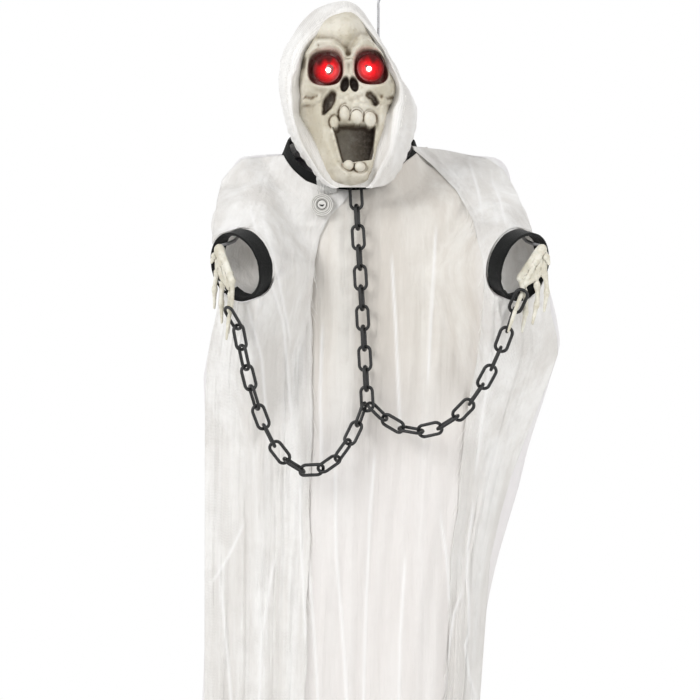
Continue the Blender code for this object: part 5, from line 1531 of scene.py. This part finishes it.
def buildCollar():
    s = collarLook
    lower = neckRing(robeShape["flare"] + s["under"], robeShape["collar"], s["columns"])
    upper = neckRing(s["over"], -s["above"], s["columns"])
    grid = splineRings([upper, (upper + lower) / 2, lower], [8, 8])
    u, v = np.meshgrid(np.arange(s["columns"]), np.arange(len(grid)))
    away = fromMiddle(grid * (1, 1, 0))
    grid = grid + away * (0.0010 * valueNoise(u / 14.0, v / 8.0, s["seed"], 2))[..., None]
    grid[..., 2] += 0.0009 * valueNoise(u / 3.0, v / 30.0, s["seed"] + 2, 3)
    collar = gridPiece("feltCollar", grid, felt, closed=True)
    healNormalsOut(collar)
    asSheet(collar, feltLook["wall"])
    soften(collar, feltLook["edge"])
    low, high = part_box("chain_drop_01")
    bow = Vector(((low.x + high.x) / 2, (low.y + high.y) / 2, high.z - chainLook["Wire"] / 2))
    path = smoothPath([(bow.x, bow.y + back, bow.z + up) for back, up in s["loop"]], 40)
    loop = makePiece("collarLoop", *closedTube(path, [s["loopWire"]] * 40, 10), felt)
    healNormals(loop)
    for piece in (collar, loop):
        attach(piece, "body")
        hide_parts("collar")
    print("collar built")


def soften(piece, width):
    bevel = piece.modifiers.new("edge", "BEVEL")
    bevel.width = width
    bevel.segments = 2
    bevel.limit_method = "ANGLE"
    bevel.angle_limit = math.radians(50)
    applyModifiers(piece)


cuffLook = {"columns": 132, "over": 0.0014, "past": 0.0008, "band": 0.0198, "lapStart": 74, "seed": 111,
            "length": 0.0415, "turnedIn": ((0.968, -0.0006), (0.915, 0.0008), (0.897, 0.009), (0.890, 0.019))}


def buildCuffs():
    s = cuffLook
    for side, word in ((-1, "left"), (1, "right")):
        rings, facing = sleeveRings(side, s["over"], s["past"], s["columns"])
        end = rings[-1]
        start = end - facing * s["band"]
        core = end.mean(axis=0)
        turned = [core - facing * deep + (end - core) * scale for scale, deep in s["turnedIn"]]
        grid = np.concatenate([splineRings([start, (start + end) / 2, end], [8, 8]), splineRings(turned, [2, 6, 7])])
        u, v = np.meshgrid(np.arange(s["columns"]), np.arange(len(grid)))
        away = fromMiddle(grid)
        pastLap = (u - s["lapStart"]) % s["columns"]  # the band's ends lie one over the other
        lap = smoothStep(pastLap, 0, 2) * (1 - smoothStep(pastLap, 9, 10))
        grid = grid + away * (0.0012 * lap + 0.0007 * valueNoise(u / 12.0, v / 9.0, s["seed"] + side, 2))[..., None]
        grid = grid + facing * (0.0007 * valueNoise(u / 4.0, v / 30.0, s["seed"] + 2 + side, 3))[..., None]
        band = gridPiece("feltCuff" + word.title(), grid, felt, closed=True)
        healNormalsOut(band)
        asSheet(band, feltLook["wall"])
        soften(band, feltLook["edge"])
        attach(band, "body")
        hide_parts("cuff_" + word)
    print("cuffs built")


# hands: bones and knuckles as a cloud of balls, fused by a voxel remesh
handShape = {"length": 0.1, "wrist": (0.180, -0.165, -0.327), "leftGrip": (-0.1595, -0.1650, -0.4122),
             "rightGrip": (0.1498, -0.1650, -0.3932), "finger": 0.0029, "tip": 0.0018, "slant": 40.0, "lean": 20.0,
             "voxel": 0.00070,
             "routes": {"middle": ((0.28, -0.07, -0.01), (0.45, 0.00, -0.03), (0.62, 0.10, -0.02), (0.91, 0.18, 0.02)),
                        "ring": ((0.18, -0.03, -0.01), (0.32, 0.09, -0.02), (0.46, 0.17, -0.01), (0.78, 0.25, 0.03)),
                        "little": ((0.06, -0.02, 0.00), (0.19, 0.12, 0.00), (0.33, 0.22, 0.01), (0.60, 0.31, 0.04)),
                        "thumb": ((0.00, 0.01, 0.00), (0.04, 0.09, 0.03), (0.10, 0.14, 0.05))},
             "index": ((0.36, -0.095, -0.01), (0.98, 0.03, 0.17)),
             "knuckles": ((0.38, -0.09), (0.42, -0.01), (0.30, 0.075), (0.17, 0.115)),
             "palm": [(0.04, -0.005, -0.012), (0.14, -0.02, -0.014), (0.24, -0.05, -0.016), (0.32, -0.07, -0.016)],
             "stem": [0.0062, 0.0066, 0.0067, 0.0064, 0.0060, 0.0057, 0.0055, 0.0053, 0.0052, 0.0051, 0.0050, 0.0049,
                      0.0048, 0.0046], "pitch": 0.0233}


def handPoint(side, shares):
    # shares of the hand's length: down, outwards and back
    down, outward, back = (share * handShape["length"] for share in shares)
    return Vector((-side * outward, back, -down))


def ballCloud(balls, path, radii, knuckles=(), swell=0.0):
    # balls along a path, swollen at its knuckles
    for k, (place, radius) in enumerate(zip(path, radii)):
        share = k / (len(path) - 1)
        wide = radius * (1 + sum(swell * math.exp(-((share - centre) / 0.055) ** 2) for centre in knuckles))
        balls.append((tuple(place), wide))


def ballMesh(name, balls):
    # every ball is a copy of one small sphere
    bm = bmesh.new()
    bmesh.ops.create_icosphere(bm, subdivisions=2, radius=1.0)
    unit = np.array([v.co for v in bm.verts])
    faces = np.array([[v.index for v in f.verts] for f in bm.faces])
    bm.free()
    points = np.concatenate([unit * wide + np.array(place) for place, wide in balls])
    faces = np.concatenate([faces + k * len(unit) for k in range(len(balls))])
    mesh = bpy.data.meshes.new(name)
    mesh.from_pydata(points.tolist(), [], faces.tolist())
    return mesh


def buildHands():
    s = handShape
    for side, word in ((-1, "left"), (1, "right")):
        wrist = Vector((side * s["wrist"][0], s["wrist"][1], s["wrist"][2]))
        grip = Vector(s["leftGrip"] if side < 0 else s["rightGrip"])
        up = (wrist - grip).normalized()
        ahead = Vector((-0.80, -0.60, 0)) if side < 0 else Vector((0, -1, 0))
        across = ahead.cross(up).normalized()
        ahead = up.cross(across).normalized()
        place = Matrix.Translation(wrist) @ Matrix((across, ahead, up)).transposed().to_4x4()
        lean, slope = math.radians(s["lean"]), math.radians(s["lean"] + s["slant"])
        arm = (grip - wrist).length
        # the forefinger crosses the held link just under its bow
        seat = (0.0019 + 0.0030 + 0.0008) / math.cos(math.radians(s["slant"]))
        rise = s["pitch"] / 2 + (chainLook["Length"] - chainLook["Wire"]) / 2 - seat
        cross = Vector((0, rise * math.sin(lean), rise * math.cos(lean) - arm))
        slip = Vector((0, math.cos(slope), -math.sin(slope))) * 0.006
        routes = {"index": [handPoint(side, s["index"][0]), cross - slip, cross + slip, handPoint(side, s["index"][1])]}
        for finger, table in s["routes"].items():
            routes[finger] = [handPoint(side, shares) for shares in table]
        balls = []
        for finger, route in routes.items():
            path = smoothPath(route, 46)
            radii = s["finger"] * np.interp(np.linspace(0, 1, 46), [0, 0.3, 0.8, 1], [1.1, 0.98, 0.84, 0.55])
            joints = (0.0, 0.36, 0.68) if finger != "thumb" else (0.0, 0.5)
            swell = 0.10 if finger == "index" else 0.45
            ballCloud(balls, path, radii * (0.9 if finger == "index" else 1.02), joints, swell)
            root = handPoint(side, (0.0, 0.02 if finger in ("little", "thumb") else -0.02, 0.0))
            bone = smoothPath([root, (root + Vector(route[0])) / 2 + Vector((0, 0.0010, 0)), route[0]], 26)
            ballCloud(balls, bone, 0.0034 * np.interp(np.linspace(0, 1, 26), [0, 0.5, 1], [1.3, 0.80, 1.15]))
        spread = np.array(s["knuckles"])
        for k, share in enumerate(np.linspace(0, 3, 19)):
            down, outward = (np.interp(share, range(4), spread[:, j]) for j in (0, 1))
            start = (0.01, -0.035 + 0.028 * share, 0.002)
            middle = (down * 0.5, (start[1] + outward) / 2, -0.014 + 0.006 * (k % 6 == 0))
            tendon = smoothPath([handPoint(side, p) for p in (start, middle, (down, outward, -0.004))], 24)
            ballCloud(balls, tendon, [0.0031 + 0.0007 * (k % 6 == 0)] * 24)
        ballCloud(balls, smoothPath([handPoint(side, p) for p in s["palm"]], 22),
                  0.0046 * np.interp(np.linspace(0, 1, 22), [0, 0.6, 1], [1.1, 1.0, 0.7]))
        ballCloud(balls, smoothPath([(0, 0, 0.0020), (0, 0, -0.006), (0, 0, -0.014)], len(s["stem"])), s["stem"])
        mesh = ballMesh("boneHand" + word.title(), balls)
        mesh.transform(place)
        mesh.materials.append(handBone)
        hand = addObject("boneHand" + word.title(), mesh)
        remesh = hand.modifiers.new("fuse", "REMESH")
        remesh.mode = "VOXEL"
        remesh.voxel_size = s["voxel"]
        smooth = hand.modifiers.new("smooth", "SMOOTH")
        smooth.factor = 0.5
        smooth.iterations = 3
        applyModifiers(hand)
        mesh = hand.data
        points = np.array([v.co for v in mesh.vertices])
        normals = np.array([v.normal for v in mesh.vertices])
        rough = valueNoise(points[:, 0] * 260 + 9, points[:, 2] * 200 + points[:, 1] * 130, 121, 3)
        points = points + normals * (rough * 0.00022)[:, None]
        mesh.vertices.foreach_set("co", points.ravel())
        creases = np.zeros(len(points))
        for edge in mesh.edges:
            a, b = edge.vertices
            step = points[b] - points[a]
            bend = (normals[b] - normals[a]) @ step / max(1e-9, np.linalg.norm(step) ** 2)
            creases[a] -= bend
            creases[b] -= bend
        # painted shade in the creases between fingers and tendons, and on the sides turned away from the front
        inner = smoothStep(creases, 100, 1500) * 0.9
        under = smoothStep(-(normals @ np.array(place.to_3x3() @ Vector((0, 1, 0)))), -0.1, 0.8) * 0.35
        writeAttribute(hand, "paintedShade", np.clip(inner + under, 0, 1))
        mesh.shade_smooth()
        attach(hand, word + "_hand")
        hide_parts("hand_" + word)
        print("hand", word, len(mesh.polygons))


# pull tab: a crinkled strip of clear film tied to the pod's lug
tabLook = {"corners": ((-0.0735, -0.2385), (-0.0480, -0.2330), (-0.0705, -0.2575), (-0.0500, -0.2560)),
           "front": -0.0962, "columns": 30, "rows": 26, "crinkle": 0.0034, "wall": 0.00035, "seed": 131,
           "length": 0.020}


def buildTab():
    s = tabLook
    u, v = np.meshgrid(np.linspace(0, 1, s["columns"]), np.linspace(0, 1, s["rows"]))
    a, b, c, d = (np.array(corner) for corner in s["corners"])
    flat = ((a * (1 - u)[..., None] + b * u[..., None]) * (1 - v)[..., None]
            + (c * (1 - u)[..., None] + d * u[..., None]) * v[..., None])
    ruffle = s["crinkle"] * (np.abs(valueNoise(u * 6, v * 5, s["seed"], 3)) + 0.3 * np.sin(11 * u + 5 * v))
    edge = 0.0016 * valueNoise(u * 5, v * 5, s["seed"] + 3, 2)
    y = s["front"] - ruffle + 0.012 * v ** 2
    grid = np.stack([flat[..., 0] + edge, y, flat[..., 1] + 0.8 * edge], axis=2)
    tab = gridPiece("pullTab", grid, clearFilm, flip=True)
    asSheet(tab, s["wall"])
    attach(tab, "body")
    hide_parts("pod_cover")


# switch pod: turned shells with a ringed face and a press button
podLook = {"radius": 0.0130, "sides": 72, "coverBack": 0.0012,
           "lug": [(0.0012, -0.0011), (0.0030, -0.0011), (0.0032, 0.0), (0.0030, 0.0011), (0.0012, 0.0011),
                   (0.0012, -0.0011)],
           # the cover's rings, from its inner edge out and back in
           "rings": [(0.0058, 0.0), (0.0120, 0.0), (0.0130, 0.0002), (0.0130, 0.0008), (0.01261, 0.0014),
                     (0.0119, 0.0016), (0.0114, 0.0008), (0.0110, 0.0008), (0.0105, 0.0018), (0.0099, 0.0019),
                     (0.0095, 0.0009), (0.0089, 0.0009), (0.0084, 0.0020), (0.0077, 0.0020), (0.0072, 0.0010),
                     (0.0062, 0.0010), (0.0058, 0.0006), (0.0058, 0.0)]}


def buildPod():
    s = podLook
    radius, facing = s["radius"], (0, -1, 0)
    low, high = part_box("pod_case")
    coverLow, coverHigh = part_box("pod_cover")
    centre = Vector(((coverLow.x + coverHigh.x) / 2, 0, (coverLow.z + coverHigh.z) / 2))
    back, deep, front = high.y, high.y - low.y, coverLow.y + s["coverBack"]
    case = [(0.0, 0.0), (radius * 0.86, 0.0), (radius * 0.96, 0.0008), (radius, 0.0022), (radius, deep - 0.0004),
            (radius - 0.0004, deep), (radius - 0.0014, deep), (radius - 0.0014, 0.0014), (0.0, 0.0014)]
    shell = lathe(case, s["sides"], (centre.x, back, centre.z), facing)
    lug = lathe(s["lug"], 28, (centre.x, back - 0.0012, centre.z + radius + 0.0015), facing)
    body = makePiece("podCase", *joinParts([shell, lug]), podPlastic)
    cover = makePiece("podCover", *lathe(s["rings"], s["sides"], (centre.x, front, centre.z), facing), podPlastic)
    raised = [front - v.co.y for v in cover.data.vertices]
    # painted shade in the low grooves between the cover's raised rings
    writeAttribute(cover, "grooveShade", [0.75 * smoothStep(0.0015 - h, 0.0, 0.0007) for h in raised])
    low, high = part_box("pod_button")
    tall = high.y - low.y
    knob = [(0.0, 0.0002), (0.0050, 0.0002), (0.0051, 0.0020), (0.0049, tall - 0.0012), (0.0043, tall - 0.0003),
            (0.0030, tall - 0.0006), (0.0, tall - 0.0009)]
    button = makePiece("podButton", *lathe(knob, 48, (centre.x, high.y, centre.z), facing), podPlastic)
    turns = np.radians(np.linspace(-150, -30, 13))  # the dark slot is an arc across the button
    arc = [(centre.x + 0.0030 * math.cos(a), low.y + 0.0004, centre.z + 0.0014 + 0.0026 * math.sin(a)) for a in turns]
    widths = np.interp(range(13), [0, 6, 12], [0.0004, 0.0011, 0.0004])
    slot = makePiece("podSlot", *closedTube(arc, widths, 10), markPlastic)
    buildTab()
    for piece, node, part, word in ((body, "pod_case", "body", "pod_plastic"),
                                    (cover, "pod_cover", "body", "pod_plastic"),
                                    (button, "pod_button", "button", "button"),
                                    (slot, "pod_button", "button", "button")):
        healNormals(piece)
        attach(piece, part)
        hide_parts(node)
    print("pod built")


stageLook = {"fill": 0.64, "radius": 1.9, "floor": -1.235, "aim": (0, 0, -0.45),
             "lamps": [("keyLamp", (-1.9, -2.0, 0.9), 1.2, 40.0), ("sideLamp", (2.0, -1.8, 0.2), 1.6, 20.0),
                       ("backLamp", (0.4, 2.2, 0.8), 1.6, 30.0)]}


def buildStage():
    s = stageLook
    floor = makePiece("floor", [], [], floorFinish, smooth=False)
    with editMesh(floor) as bm:
        bmesh.ops.create_circle(bm, cap_ends=True, segments=96, radius=s["radius"])
        bmesh.ops.translate(bm, vec=(0, 0, s["floor"]), verts=bm.verts)
    for name, place, size, power in s["lamps"]:
        lamp = bpy.data.lights.new(name, "AREA")
        lamp.energy = power
        lamp.size = size
        lampObject = addObject(name, lamp)
        lampObject.location = place
        lampObject.rotation_euler = (Vector(s["aim"]) - Vector(place)).to_track_quat("-Z", "Y").to_euler()
    world = bpy.data.worlds.new("white room")
    scene.world = world
    world.use_nodes = True
    tree = world.node_tree
    background = tree.nodes["Background"]
    path = addNode(tree, "ShaderNodeLightPath").outputs
    mirrored = mathNode(tree, "MAXIMUM", path["Is Glossy Ray"], path["Is Transmission Ray"])
    seen = mathNode(tree, "MAXIMUM", path["Is Camera Ray"], mirrored)
    strength = addNode(tree, "ShaderNodeMapRange", None, n0=seen, n3=s["fill"], n4=1.0).outputs[0]
    background.inputs[0].default_value = (1, 1, 1, 1)
    tree.links.new(strength, background.inputs[1])
    scene.view_settings.view_transform = "Standard"


buildChains()
buildHook()
buildSkull()
buildEyes()
buildHood()
buildCollar()
buildRobe()
buildLining()
buildCuffs()
buildHands()
buildPod()
buildStage()
